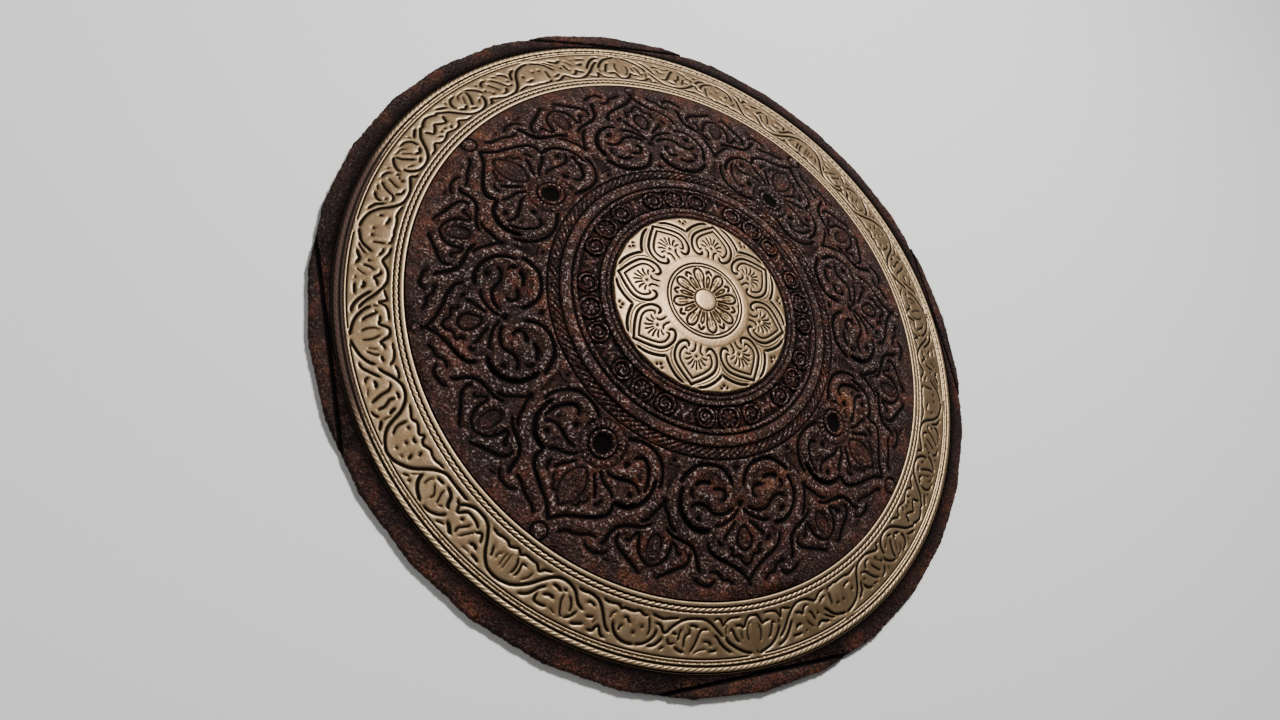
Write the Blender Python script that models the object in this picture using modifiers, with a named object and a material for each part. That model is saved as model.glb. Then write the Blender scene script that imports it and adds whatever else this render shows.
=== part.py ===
# Round shield of rusted iron, with a brass ring and a brass centre plate let into its carved face.
# It lies face up on the flat underside of its rim. Metres, +Z up, origin under the middle of the rim.

import math

import bmesh
import bpy
import numpy as np
from mathutils import Vector
from mathutils.geometry import delaunay_2d_cdt

# Overall form of the shell
RIM_RADIUS = 0.2000  # to the corners of the many-sided edge
RIM_SIDES = 32
RIM_HEIGHT = 0.0045  # from the surface it rests on to the top of its edge
RIM_FOOT = 0.0090  # width of the flat ring it rests on
CROWN_ARC = 0.3890  # radius of the sphere that the middle follows
FLANK_SLOPE = 0.236  # fall for each metre outwards, beyond the sphere
RIM_SLOPE = 0.190  # the rim band is a little flatter
WALL = 0.0015  # iron under the brass
RELIEF_DEPTH = 0.0020  # from the face down to the ground of the carving

# Brass pieces, each let into a seat of its own
RIM_BAND = 0.0116  # from the corners of the rim in to the brass ring
RING_WIDTH = 0.0339
PLATE_RADIUS = 0.0517
INLAY_THICKNESS = 0.0019
FIT_GAP = 0.0003
RING_RELIEF = 0.0010
PLATE_RELIEF = 0.0009

# Carved face between the plate and the ring
BAND_INNER = 0.0860  # where the inner ornament bands end and the large carving starts
MEDALLION_COUNT = 8
MEDALLION_RADIUS = 0.0061
SCROLL_MEDALLION_RADIUS = 0.0054

# Straight slits in the rim
SLIT_COUNT = 4
SLIT_INSET = 0.0092  # from the corners' circle in to the middle of a slit
SLIT_WIDTH = 0.0012
SLIT_DEPTH = 0.0020

# Grip inside the shell
GRIP_SPAN = 0.1360  # between the rivets
GRIP_REACH = 0.0900  # length of the straight handhold
GRIP_WIDTH = 0.0200
GRIP_THICKNESS = 0.0045
GRIP_LIFT = 0.0035  # from the resting surface to the handhold
PAD_REACH = 0.0110  # from each rivet to the end of its pad
RIVET_RADIUS = 0.0030
RIVET_HEAD_RADIUS = 0.0055
RIVET_HEAD_HEIGHT = 0.0025
RIVET_BITE = 0.0008  # how far a rivet enters the shell
RIVET_SIDES = 8
HOLE_RUN = 0.0100  # length of a hole's cutter below the pad's upper face

# How finely the round forms are cut
SEGMENTS = 2 * RIM_SIDES
WEDGE = math.tau / 8
WEDGE_STEPS = SEGMENTS // 8
PLATE_STEPS = WEDGE_STEPS // 2
ARC_SAG = 0.00052  # how far a ring's straight steps may stray from its circle
BOSS_SIDES = 6
LEAST_GAP = 0.0011  # between two points of a carved face
FOOT_GAP = 0.85  # the same for a point at a ridge's foot, as a share of the ridge's half width
FOOT_LIMIT = 0.65  # highest foot, as a share of the relief

# Sizes that follow from those above
SEAT_DEPTH = INLAY_THICKNESS + FIT_GAP
PLATE_SEAT = PLATE_RADIUS + FIT_GAP
RING_OUTER = RIM_RADIUS - RIM_BAND
RING_INNER = RING_OUTER - RING_WIDTH
RING_SEAT_INNER = RING_INNER - FIT_GAP
RING_SEAT_OUTER = RING_OUTER + FIT_GAP
BAND_WIDTH = RING_INNER - BAND_INNER
FOOT_INNER = RIM_RADIUS * math.cos(math.pi / RIM_SIDES) - RIM_FOOT
SLIT_DISTANCE = RIM_RADIUS - SLIT_INSET


# Form of the dome

def drop(radius):
    # Fall of the face from the crown: a sphere, then a cone that meets it without a kink.
    radius = np.asarray(radius, float)
    tangent = CROWN_ARC * math.sin(math.atan(FLANK_SLOPE))
    ball = np.minimum(radius, tangent)
    cone = np.maximum(radius - tangent, 0)
    ease = np.maximum(radius - RING_OUTER, 0) * (FLANK_SLOPE - RIM_SLOPE)
    return CROWN_ARC - np.sqrt(CROWN_ARC**2 - ball**2) + cone * FLANK_SLOPE - ease


def face_height(radius):
    return RIM_HEIGHT + drop(RIM_RADIUS) - drop(radius)


def seat_height(radius):
    return face_height(radius) - SEAT_DEPTH


def inside_height(radius):
    return seat_height(radius) - WALL


# Strokes of the carving: each is a ridge or a hollow along a line, or around one point

def stroke(path, half, rise=1.0, flat=0.0, taper=None):
    # half is half its width, flat the share of that which is level on top, taper its half width at the end.
    path = np.array(path, float)
    last = half if taper is None else taper
    return {"path": path, "half": np.linspace(half, last, len(path)), "rise": rise, "flat": flat}


def ring_path(centre, radius, count):
    turns = np.linspace(0, math.tau, count + 1)
    return [(centre[0] + radius * math.sin(t), centre[1] + radius * math.cos(t)) for t in turns]


def placed(strokes, axis, origin, scale, side=1):
    # Strokes are drawn across and along an axis that points outwards, in shares of a width.
    cos, sin = math.cos(axis), math.sin(axis)
    out = []
    for one in strokes:
        across = one["path"][:, 0] * scale * side
        along = origin + one["path"][:, 1] * scale
        moved = dict(one)
        moved["path"] = np.column_stack([along * cos - across * sin, along * sin + across * cos])
        moved["half"] = one["half"] * scale
        out.append(moved)
    return out


def distance(points, path, half):
    # Distance from each point to the line, and the line's half width at the nearest place.
    best = np.full(len(points), np.inf)
    width = np.full(len(points), half[0])
    if len(path) == 1:
        return np.linalg.norm(points - path[0], axis=1), width
    for a, b, wide_a, wide_b in zip(path[:-1], path[1:], half[:-1], half[1:]):
        run = b - a
        t = np.clip(((points - a) @ run) / max(run @ run, 1e-18), 0, 1)
        away = np.linalg.norm(points - (a + t[:, None] * run), axis=1)
        nearer = away < best
        best = np.where(nearer, away, best)
        width = np.where(nearer, wide_a + t * (wide_b - wide_a), width)
    return best, width


def carved(points, strokes):
    # Height of the carving at each point, in shares of the relief's depth.
    raised = np.zeros(len(points))
    sunk = np.zeros(len(points))
    for one in strokes:
        away, half = distance(points, one["path"], one["half"])
        share = np.clip((1 - away / half) / (1 - one["flat"]), 0, 1) * one["rise"]
        raised = np.maximum(raised, share)
        sunk = np.minimum(sunk, share)
    return raised + sunk


# Net of points over one wedge of a carved face

class Net:
    # The points lie in a wedge from angle 0 to span. Lines between them stay edges of the face.

    def __init__(self, inner, outer, span):
        self.inner = inner
        self.outer = outer
        self.span = span
        self.points = []
        self.lines = []

    def settle(self, point):
        # Polar form of a point, pulled onto a side of the wedge where it is near, or None outside.
        radius = math.hypot(*point)
        angle = math.atan2(point[1], point[0])
        if not self.inner + LEAST_GAP < radius < self.outer - LEAST_GAP:
            return None
        near = 0.9 * LEAST_GAP / radius
        if abs(angle) < near:
            angle = 0.0
        if abs(angle - self.span) < near:
            angle = self.span
        if angle < 0 or angle > self.span:
            return None
        return angle, radius

    def add(self, angle, radius):
        self.points.append((angle, radius))
        return len(self.points) - 1

    def clear(self, angle, radius, gap):
        place = np.array([radius * math.cos(angle), radius * math.sin(angle)])
        polar = np.array(self.points)
        flat = np.column_stack([polar[:, 1] * np.cos(polar[:, 0]), polar[:, 1] * np.sin(polar[:, 0])])
        return np.min(np.linalg.norm(flat - place, axis=1)) > gap

    def join(self, indices):
        for a, b in zip(indices[:-1], indices[1:]):
            if a is not None and b is not None and a != b:
                self.lines.append((a, b))

    def arc(self, radius, steps=None):
        if steps is None:
            steps = math.ceil(self.span / (2 * math.acos(1 - ARC_SAG / radius)))
        self.join([self.add(self.span * k / steps, radius) for k in range(steps + 1)])

    def point(self, place, gap=LEAST_GAP):
        polar = self.settle(place)
        if polar is None or not self.clear(*polar, gap):
            return None
        return self.add(*polar)

    def line(self, path, others):
        # A point that falls close to another stroke's line is left out, and the line passes it by.
        indices = []
        for place in path:
            crowded = any(
                distance(np.array([place]), other["path"], other["half"])[0][0] < LEAST_GAP
                for other in others
            )
            index = None if crowded else self.point(place)
            if index is None and self.settle(place) is None:
                indices.append(None)
            elif index is not None:
                indices.append(index)
        self.join(indices)

    def triangles(self):
        sides = {}
        for index, (angle, radius) in enumerate(self.points):
            if angle in (0.0, self.span):
                sides.setdefault(angle, []).append((radius, index))
        for column in sides.values():
            self.join([index for _, index in sorted(column)])
        # A logarithm of the radius keeps every triangle's shape true while the net is laid out.
        spread = [Vector((1000 * math.log(r), 1000 * a)) for a, r in self.points]
        found = delaunay_2d_cdt(spread, sorted(set(self.lines)), [], 0, 1e-4)
        radii = np.exp(np.array([v.x for v in found[0]]) / 1000)
        angles = np.array([v.y for v in found[0]]) / 1000
        flat = np.column_stack([radii * np.cos(angles), radii * np.sin(angles)])
        return flat, [tuple(face) for face in found[2]]


def boss_path(centre, radius):
    # Around a boss, from the side that faces outwards.
    out = math.atan2(centre[1], centre[0])
    turns = out + np.linspace(0, math.tau, BOSS_SIDES + 1)
    return [(centre[0] + radius * math.cos(t), centre[1] + radius * math.sin(t)) for t in turns]


def outline_of(one):
    # The line that a stroke's top follows, or the edge of its level top.
    if len(one["path"]) > 1:
        return one["path"]
    if one["flat"] == 0:
        return [one["path"][0]]
    return boss_path(one["path"][0], one["half"][0] * one["flat"])


def feet_of(one, strokes):
    # Points around the foot of a boss, or on both sides of a ridge at the bottom of the slope,
    # which is the valley where another ridge comes close.
    path, half = one["path"], one["half"]
    if len(path) == 1:
        return boss_path(path[0], half[0])[:-1]
    along = np.gradient(path, axis=0)
    along /= np.linalg.norm(along, axis=1)[:, None]
    normal = np.column_stack([-along[:, 1], along[:, 0]])
    rays = [(path[k], side * normal[k] * half[k]) for k in range(len(path)) for side in (1, -1)]
    rays.append((path[0], -along[0] * half[0]))
    rays.append((path[-1], along[-1] * half[-1]))
    places = []
    for start, ray in rays:
        slope = start + np.linspace(0.4, 1, 13)[:, None] * ray
        depth = carved(slope, strokes)
        if depth.min() < FOOT_LIMIT:
            places.append(slope[depth.argmin()])
    return places


def carve(inner, outer, span, steps, arcs, strokes, height, field):
    # One wedge of a carved face: its points in space and its triangles, facing up.
    # steps are its numbers of sides along the inner and the outer edge, arcs its rings,
    # and field the two radii between which the strokes lie.
    net = Net(inner, outer, span)
    net.arc(inner, steps[0])
    net.arc(outer, steps[1])
    for radius in arcs:
        net.arc(radius)
    for one in strokes:
        net.line(outline_of(one), [other for other in strokes if other is not one])
    for one in strokes:
        gap = LEAST_GAP
        if len(one["path"]) > 1:
            gap = max(gap, FOOT_GAP * one["half"].mean())
        for place in feet_of(one, strokes):
            if field[0] < math.hypot(*place) < field[1]:
                net.point(place, gap)
    flat, faces = net.triangles()
    radius = np.linalg.norm(flat, axis=1)
    within = (radius > inner + LEAST_GAP / 2) & (radius < outer - LEAST_GAP / 2)
    level = height(radius, np.where(within, carved(flat, strokes), 0))
    return np.column_stack([flat, level]), faces


def strip(circles, span, steps, next_steps=None):
    # Walls between circles of (radius, height), from one to the next. A circle's radius may be a function
    # of the angle. From the second circle on, next_steps is steps or half as many.
    points, faces, rows = [], [], []
    for row, (radius, height) in enumerate(circles):
        count = steps if row == 0 or next_steps is None else next_steps
        rows.append((len(points), count))
        for k in range(count + 1):
            angle = span * k / count
            wide = radius(angle) if callable(radius) else radius
            points.append((wide * math.cos(angle), wide * math.sin(angle), float(height)))
    for (a, many), (b, few) in zip(rows[:-1], rows[1:]):
        for k in range(few):
            if many == few:
                faces.append((a + k, b + k, b + k + 1, a + k + 1))
            else:
                faces.append((a + 2 * k, b + k, a + 2 * k + 1))
                faces.append((a + 2 * k + 1, b + k, b + k + 1))
                faces.append((a + 2 * k + 1, b + k + 1, a + 2 * k + 2))
    return np.array(points), faces


def fan(circle, height, span, steps, up=True):
    # The middle: triangles from a circle to the axis.
    radius, level = circle
    points = [(0.0, 0.0, float(height))]
    for k in range(steps + 1):
        angle = span * k / steps
        points.append((radius * math.cos(angle), radius * math.sin(angle), float(level)))
    faces = [(0, k + 1, k + 2) if up else (0, k + 2, k + 1) for k in range(steps)]
    return np.array(points), faces


def turned(name, pieces, span):
    # Every wedge and its mirror image, all round, joined into one closed body.
    points, faces = [], []
    count = 0
    for places, cells in pieces:
        for turn in range(round(math.pi / span)):
            for mirror in (1, -1):
                angle = 2 * span * turn
                x = places[:, 0] * math.cos(angle) - mirror * places[:, 1] * math.sin(angle)
                y = places[:, 0] * math.sin(angle) + mirror * places[:, 1] * math.cos(angle)
                points.append(np.column_stack([x, y, places[:, 2]]))
                for cell in cells:
                    ordered = cell if mirror == 1 else tuple(reversed(cell))
                    faces.append([count + index for index in ordered])
                count += len(places)
    mesh = bpy.data.meshes.new(name)
    mesh.from_pydata(np.concatenate(points).tolist(), [], faces)
    work = bmesh.new()
    work.from_mesh(mesh)
    bmesh.ops.remove_doubles(work, verts=work.verts, dist=1e-6)
    work.to_mesh(mesh)
    work.free()
    return bpy.data.objects.new(name, mesh)


# Large carving of the iron, drawn across and along each motif's axis in shares of the band's width

OGEE = [(0.0, 0.881), (0.1, 0.805), (0.203, 0.756), (0.304, 0.68), (0.352, 0.577)]
ROSETTE_CENTRE = (0.0, 0.198)
ROSETTE_RING = 0.138
ROSETTE_HOLE = 0.081

ROSETTE_MOTIF = [
    # The strap that falls from the point of the arch and turns in under the volute
    stroke(
        OGEE + [(0.412, 0.496), (0.488, 0.425), (0.537, 0.339), (0.55, 0.244), (0.52, 0.144), (0.447, 0.068)],
        0.049,
    ),
    # The volute beside the rosette
    stroke(
        [(0.136, 0.366), (0.244, 0.425), (0.366, 0.42), (0.455, 0.35), (0.477, 0.238), (0.428, 0.136)]
        + [(0.325, 0.087), (0.225, 0.122), (0.184, 0.203), (0.228, 0.263), (0.271, 0.23)],
        0.038,
        0.9,
    ),
    # The rosette and its drilled eye
    stroke(ring_path(ROSETTE_CENTRE, ROSETTE_RING, 10), 0.038, 1.0),
    stroke([ROSETTE_CENTRE], ROSETTE_HOLE, -0.5, 0.75),
    # The palmette in the arch
    stroke([(0.0, 0.42), (0.0, 0.56), (0.0, 0.705)], 0.07, 0.8, taper=0.03),
    stroke([(0.06, 0.42), (0.22, 0.565)], 0.045, 0.7),
]

VOLUTE_MOTIF = [
    # The strap that becomes a spiral of nearly two turns
    stroke(
        OGEE[:4]
        + [(0.374, 0.596), (0.466, 0.501), (0.52, 0.398), (0.531, 0.285), (0.499, 0.163), (0.42, 0.076)]
        + [(0.304, 0.035), (0.179, 0.057), (0.098, 0.127), (0.06, 0.225), (0.081, 0.306), (0.157, 0.344)]
        + [(0.228, 0.312), (0.249, 0.244), (0.211, 0.203)],
        0.045,
    ),
    stroke([(0.0, 0.463), (0.0, 0.62), (0.0, 0.759)], 0.07, 0.8, taper=0.03),
    stroke([(0.06, 0.45), (0.23, 0.565)], 0.045, 0.7),
]

TULIP_BUD = [
    stroke([(0.0, 0.593), (0.0, 0.73), (0.0, 0.836)], 0.07, 0.9, taper=0.03),
    stroke([(0.0, 0.279), (0.0, 0.108)], 0.03, 0.8, taper=0.087),
]
TULIP_SEPAL = [
    stroke(
        [(0.027, 0.453), (0.095, 0.515), (0.203, 0.588), (0.282, 0.65), (0.287, 0.732), (0.217, 0.791)],
        0.035,
        0.8,
    ),
]
KNOB_SHARE = 0.949
KNOB_RADIUS = 0.0038

# Rings of the iron face: share of the way from the plate's seat to the large carving, and level in
# shares of the relief's depth
INNER_RINGS = [
    (0.046, 0.15),
    (0.086, -0.5),
    (0.127, 0.15),
    (0.168, -0.6),
    (0.593, -0.6),
    (0.642, 0.15),
    (0.799, 0.15),
    (0.830, -0.5),
    (0.900, 0.15),
    (0.965, -0.5),
]
MEDALLION_SHARE = 0.382
SCROLL_STEPS = (0.55, 1.45)  # places of the small medallions, in half steps of the large ones
GROUND_START = 0.012  # shares of the band's width: the ground's inner and outer edge, and the plain border
GROUND_END = 0.905
BORDER_START = 0.925


def iron_levels():
    reach = BAND_INNER - PLATE_SEAT
    rings = [(PLATE_SEAT, -0.3)]
    rings += [(PLATE_SEAT + share * reach, level) for share, level in INNER_RINGS]
    rings.append((BAND_INNER + GROUND_START * BAND_WIDTH, -1.0))
    rings.append((BAND_INNER + GROUND_END * BAND_WIDTH, -1.0))
    rings.append((BAND_INNER + BORDER_START * BAND_WIDTH, 0.0))
    rings.append((RING_SEAT_INNER, 0.0))
    return rings


def iron_strokes():
    half_step = math.tau / MEDALLION_COUNT / 2
    strokes = placed(ROSETTE_MOTIF, 0.0, BAND_INNER, BAND_WIDTH)
    strokes += placed(VOLUTE_MOTIF, WEDGE, BAND_INNER, BAND_WIDTH, -1)
    strokes += placed(TULIP_BUD, half_step, BAND_INNER, BAND_WIDTH)
    for side in (1, -1):
        strokes += placed(TULIP_SEPAL, half_step, BAND_INNER, BAND_WIDTH, side)
    knob_reach = BAND_INNER + KNOB_SHARE * BAND_WIDTH
    row = PLATE_SEAT + MEDALLION_SHARE * (BAND_INNER - PLATE_SEAT)
    for axis in (0.0, 2 * half_step):
        strokes += placed([stroke([(0, 0)], KNOB_RADIUS, 0.5, 0.4)], axis, knob_reach, 1)
        strokes += placed([stroke([(0, 0)], MEDALLION_RADIUS, 0.6, 0.75)], axis, row, 1)
    for steps in SCROLL_STEPS:
        strokes += placed([stroke([(0, 0)], SCROLL_MEDALLION_RADIUS, 0.7)], steps * half_step, row, 1)
    return strokes


def rim_edge(angle):
    # The edge is a polygon, with a corner on the X axis.
    side = math.tau / RIM_SIDES
    turn = (angle + side / 2) % side - side / 2
    return RIM_RADIUS * math.cos(side / 2) / math.cos(side / 2 - abs(turn))


def shield_body():
    levels = iron_levels()
    radii = [radius for radius, _ in levels]
    steps = (PLATE_STEPS, WEDGE_STEPS)

    def height(radius, share):
        return face_height(radius) + RELIEF_DEPTH * (np.interp(radius, *zip(*levels)) + share)

    field = (PLATE_SEAT, RING_SEAT_INNER)
    carving = carve(PLATE_SEAT, RING_SEAT_INNER, WEDGE, steps, radii[1:-1], iron_strokes(), height, field)
    seat = [(PLATE_SEAT * k / 3, seat_height(PLATE_SEAT * k / 3)) for k in (1, 2, 3)]
    tangent = CROWN_ARC * math.sin(math.atan(FLANK_SLOPE))
    brink = FOOT_INNER - 2 * WALL
    under = [(rim_edge, RIM_HEIGHT), (rim_edge, 0), (FOOT_INNER, 0), (brink, inside_height(brink))]
    back = [(r, inside_height(r)) for r in (brink, tangent, tangent * 2 / 3, tangent / 3)]
    pieces = [
        fan(seat[0], seat_height(0), WEDGE, PLATE_STEPS),
        strip(seat + [(PLATE_SEAT, height(PLATE_SEAT, 0))], WEDGE, PLATE_STEPS),
        carving,
        strip(
            [
                (RING_SEAT_INNER, height(RING_SEAT_INNER, 0)),
                (RING_SEAT_INNER, seat_height(RING_SEAT_INNER)),
                (RING_SEAT_OUTER, seat_height(RING_SEAT_OUTER)),
                (RING_SEAT_OUTER, face_height(RING_SEAT_OUTER)),
                (rim_edge, RIM_HEIGHT),
            ],
            WEDGE,
            WEDGE_STEPS,
        ),
        strip(under, WEDGE, WEDGE_STEPS),
        strip(back, WEDGE, WEDGE_STEPS, PLATE_STEPS),
        fan(back[-1], inside_height(0), WEDGE, PLATE_STEPS, up=False),
    ]
    return turned("shield_body", pieces, WEDGE)


# Vine of the brass ring, in shares of the ring's width from its inner edge

RING_RINGS = [
    (0.087, 0.35),
    (0.125, -0.5),
    (0.163, 0.35),
    (0.212, -1.0),
    (0.812, -1.0),
    (0.866, 0.35),
    (0.906, -0.5),
    (0.953, 0.35),
]
# Stem of the vine over an eighth of the ring, in degrees and shares of the width: an arch at each end,
# one between them, and before that a valley parted in two by a cusp
VINE_STEM = [
    (0, 0.74),
    (3.4, 0.66),
    (6.2, 0.39),
    (8.9, 0.31),
    (12.8, 0.41),
    (16.6, 0.31),
    (20.2, 0.43),
    (22.6, 0.67),
    (25.9, 0.75),
    (30.0, 0.58),
    (34.5, 0.31),
    (39.0, 0.55),
    (45, 0.78),
]
ARCH_LEAVES = (0, 25.9, 45)  # degrees
VALLEY_LEAVES = (8.9, 16.9, 34.5)
ARCH_LEAF = (0.56, 0.34)  # from and to, in shares of the width
VALLEY_LEAF = (0.5, 0.7)
VINE_HALF = 0.0015
LEAF_HALF = 0.0024


def ring_strokes():
    def at(degrees, share):
        angle = math.radians(degrees)
        radius = RING_INNER + share * RING_WIDTH
        return radius * math.cos(angle), radius * math.sin(angle)

    strokes = [stroke([at(*place) for place in VINE_STEM], VINE_HALF, 1.1)]
    for places, (start, end), rise in ((ARCH_LEAVES, ARCH_LEAF, 0.9), (VALLEY_LEAVES, VALLEY_LEAF, 0.8)):
        for degrees in places:
            leaf = [at(degrees, start), at(degrees, end)]
            strokes.append(stroke(leaf, LEAF_HALF, rise, taper=LEAF_HALF / 2))
    return strokes


def brass_ring():
    rings = [(RING_INNER, -0.2)]
    rings += [(RING_INNER + share * RING_WIDTH, level) for share, level in RING_RINGS]
    rings.append((RING_OUTER, -0.5))
    radii = [radius for radius, _ in rings]
    steps = (WEDGE_STEPS, WEDGE_STEPS)

    def height(radius, share):
        return face_height(radius) + RING_RELIEF * (np.interp(radius, *zip(*rings)) + share)

    field = (radii[4], radii[5])
    carving = carve(RING_INNER, RING_OUTER, WEDGE, steps, radii[1:-1], ring_strokes(), height, field)
    under = [
        (RING_OUTER, height(RING_OUTER, 0)),
        (RING_OUTER, seat_height(RING_OUTER) + FIT_GAP),
        (RING_INNER, seat_height(RING_INNER) + FIT_GAP),
        (RING_INNER, height(RING_INNER, 0)),
    ]
    return turned("brass_ring", [carving, strip(under, WEDGE, WEDGE_STEPS)], WEDGE)


# Lotus of the centre plate, across and along each axis in shares of the plate's radius

PETAL_MOTIF = [
    stroke(
        [(0.0, 0.925), (0.079, 0.853), (0.186, 0.803), (0.254, 0.717), (0.258, 0.616), (0.186, 0.538)],
        0.036,
        0.6,
    ),
    stroke([(0.03, 0.57), (0.085, 0.68), (0.075, 0.77)], 0.036, 0.6),
    stroke([(0.0, 0.14), (0.0, 0.31)], 0.03, 0.8, taper=0.045),
]
GAP_MOTIF = [
    stroke([(0.0, 0.78), (0.0, 0.93)], 0.05, 0.6, taper=0.05),
    stroke([(0.0, 0.14), (0.0, 0.28)], 0.025, 0.7, taper=0.035),
]
PLATE_RINGS = [(0.36, -0.7), (0.405, 0.1), (0.437, -0.6), (0.96, -0.5)]
BUTTON_SHARE = 0.111
LOTUS_PETALS = 8


def centre_plate():
    span = math.pi / LOTUS_PETALS
    button = BUTTON_SHARE * PLATE_RADIUS
    rings = [(button, 0.2)]
    rings += [(share * PLATE_RADIUS, level) for share, level in PLATE_RINGS]
    rings.append((PLATE_RADIUS, 0.0))
    strokes = placed(PETAL_MOTIF, span, 0.0, PLATE_RADIUS, -1)
    strokes += placed(GAP_MOTIF, 0.0, 0.0, PLATE_RADIUS)
    radii = [radius for radius, _ in rings]
    outer_steps = PLATE_STEPS // 2

    def height(radius, share):
        return face_height(radius) + PLATE_RELIEF * (np.interp(radius, *zip(*rings)) + share)

    field = (button, radii[-2])
    carving = carve(button, PLATE_RADIUS, span, (1, outer_steps), radii[1:-1], strokes, height, field)
    under = [(PLATE_RADIUS, height(PLATE_RADIUS, 0))]
    for k in (3, 2, 1):
        under.append((PLATE_RADIUS * k / 3, seat_height(PLATE_SEAT * k / 3) + FIT_GAP))
    pieces = [
        fan((button, height(button, 0)), face_height(0) + PLATE_RELIEF * 0.6, span, 1),
        carving,
        strip(under, span, outer_steps),
        fan(under[-1], seat_height(0) + FIT_GAP, span, outer_steps, up=False),
    ]
    return turned("centre_plate", pieces, span)


# Grip: one forged strap, bent down from two pads that lie against the shell

def grip_lean():
    # Angle at which the shell falls away under a pad.
    near, far = GRIP_SPAN / 2 - PAD_REACH, GRIP_SPAN / 2 + PAD_REACH
    return math.atan2(inside_height(near) - inside_height(far), far - near)


def pad_place(reach, depth):
    # A point of a pad, reach outwards from the rivet along the shell and depth below it.
    lean = grip_lean()
    middle = GRIP_SPAN / 2
    edge = math.hypot(middle + PAD_REACH, GRIP_WIDTH / 2)
    top = min(inside_height(middle), inside_height(edge) + PAD_REACH * math.tan(lean)) - FIT_GAP
    x = middle + reach * math.cos(lean) - depth * math.sin(lean)
    z = top - reach * math.sin(lean) - depth * math.cos(lean)
    return x, z


def grip():
    half = GRIP_REACH / 2
    low = GRIP_LIFT
    high = GRIP_LIFT + GRIP_THICKNESS
    bend = pad_place(-PAD_REACH, 0)
    under = pad_place(-PAD_REACH + GRIP_THICKNESS / 2, GRIP_THICKNESS)
    right = [
        (half, low),
        under,
        pad_place(PAD_REACH, GRIP_THICKNESS),
        pad_place(PAD_REACH, 0),
        bend,
        (half - GRIP_THICKNESS, high),
    ]
    left = [(-x, z) for x, z in reversed(right)]
    curve = bpy.data.curves.new("grip_outline", "CURVE")
    curve.dimensions = "2D"
    curve.fill_mode = "BOTH"
    curve.extrude = GRIP_WIDTH / 2
    spline = curve.splines.new("POLY")
    spline.points.add(2 * len(right) - 1)
    spline.use_cyclic_u = True
    for point, (x, z) in zip(spline.points, right + left):
        point.co = (x, z, 0, 1)
    drawn = bpy.data.objects.new("grip_outline", curve)
    drawn.rotation_euler = (math.pi / 2, 0, 0)
    shield.objects.link(drawn)
    solid = mesh_of(drawn, "grip")
    edges = solid.modifiers.new("worn edges", "BEVEL")
    edges.width = GRIP_THICKNESS / 4
    edges.segments = 1
    edges.limit_method = "ANGLE"
    edges.angle_limit = math.radians(50)
    return solid


def mesh_of(drawn, name):
    # A closed mesh from a curve, in the curve's place.
    bpy.context.view_layer.update()
    made = bpy.data.meshes.new_from_object(drawn.evaluated_get(bpy.context.evaluated_depsgraph_get()))
    made.transform(drawn.matrix_world)
    work = bmesh.new()
    work.from_mesh(made)
    bmesh.ops.remove_doubles(work, verts=work.verts, dist=1e-6)
    bmesh.ops.recalc_face_normals(work, faces=work.faces)
    work.to_mesh(made)
    work.free()
    made.name = name
    bpy.data.objects.remove(drawn)
    solid = bpy.data.objects.new(name, made)
    shield.objects.link(solid)
    return solid


def rivet_axis(side):
    # Where a rivet crosses its pad's upper face, and the way it points, into the shell.
    lean = grip_lean()
    x, z = pad_place(0, 0)
    return Vector((side * x, 0, z)), Vector((side * math.sin(lean), 0, math.cos(lean)))


def rod(name, radius, start, length, direction, collection):
    # A round bar from start along direction.
    bpy.ops.mesh.primitive_cylinder_add(vertices=RIVET_SIDES, radius=radius, depth=length)
    bar = bpy.context.object
    bar.name = name
    bar.rotation_euler = direction.to_track_quat("Z", "Y").to_euler()
    bar.location = start + direction * length / 2
    for old in list(bar.users_collection):
        old.objects.unlink(bar)
    collection.objects.link(bar)
    return bar


def rivet(name, side):
    # A turned profile, head down: the dome of the head, then the shank.
    place, up = rivet_axis(side)
    shank = GRIP_THICKNESS + FIT_GAP + RIVET_BITE
    profile = [(0.0, shank), (RIVET_RADIUS, shank), (RIVET_RADIUS, -FIT_GAP), (RIVET_HEAD_RADIUS, -FIT_GAP)]
    for k in (1, 2, 3):
        turn = math.radians(30 * k)
        profile.append((RIVET_HEAD_RADIUS * math.cos(turn), -FIT_GAP - RIVET_HEAD_HEIGHT * math.sin(turn)))
    profile[-1] = (0.0, profile[-1][1])
    mesh = bpy.data.meshes.new(name)
    edges = [(k, k + 1) for k in range(len(profile) - 1)]
    mesh.from_pydata([(x, 0, z) for x, z in profile], edges, [])
    piece = bpy.data.objects.new(name, mesh)
    screw = piece.modifiers.new("turned", "SCREW")
    screw.steps = RIVET_SIDES
    screw.render_steps = RIVET_SIDES
    screw.use_merge_vertices = True
    screw.merge_threshold = 1e-6
    piece.rotation_euler = up.to_track_quat("Z", "Y").to_euler()
    piece.location = place - up * GRIP_THICKNESS
    shield.objects.link(piece)
    return piece


def cut(piece, cutter):
    knife = piece.modifiers.new(cutter.name, "BOOLEAN")
    knife.operation = "DIFFERENCE"
    knife.solver = "EXACT"
    knife.object = cutter
    cutter.hide_render = True
    cutter.display_type = "WIRE"


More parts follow.
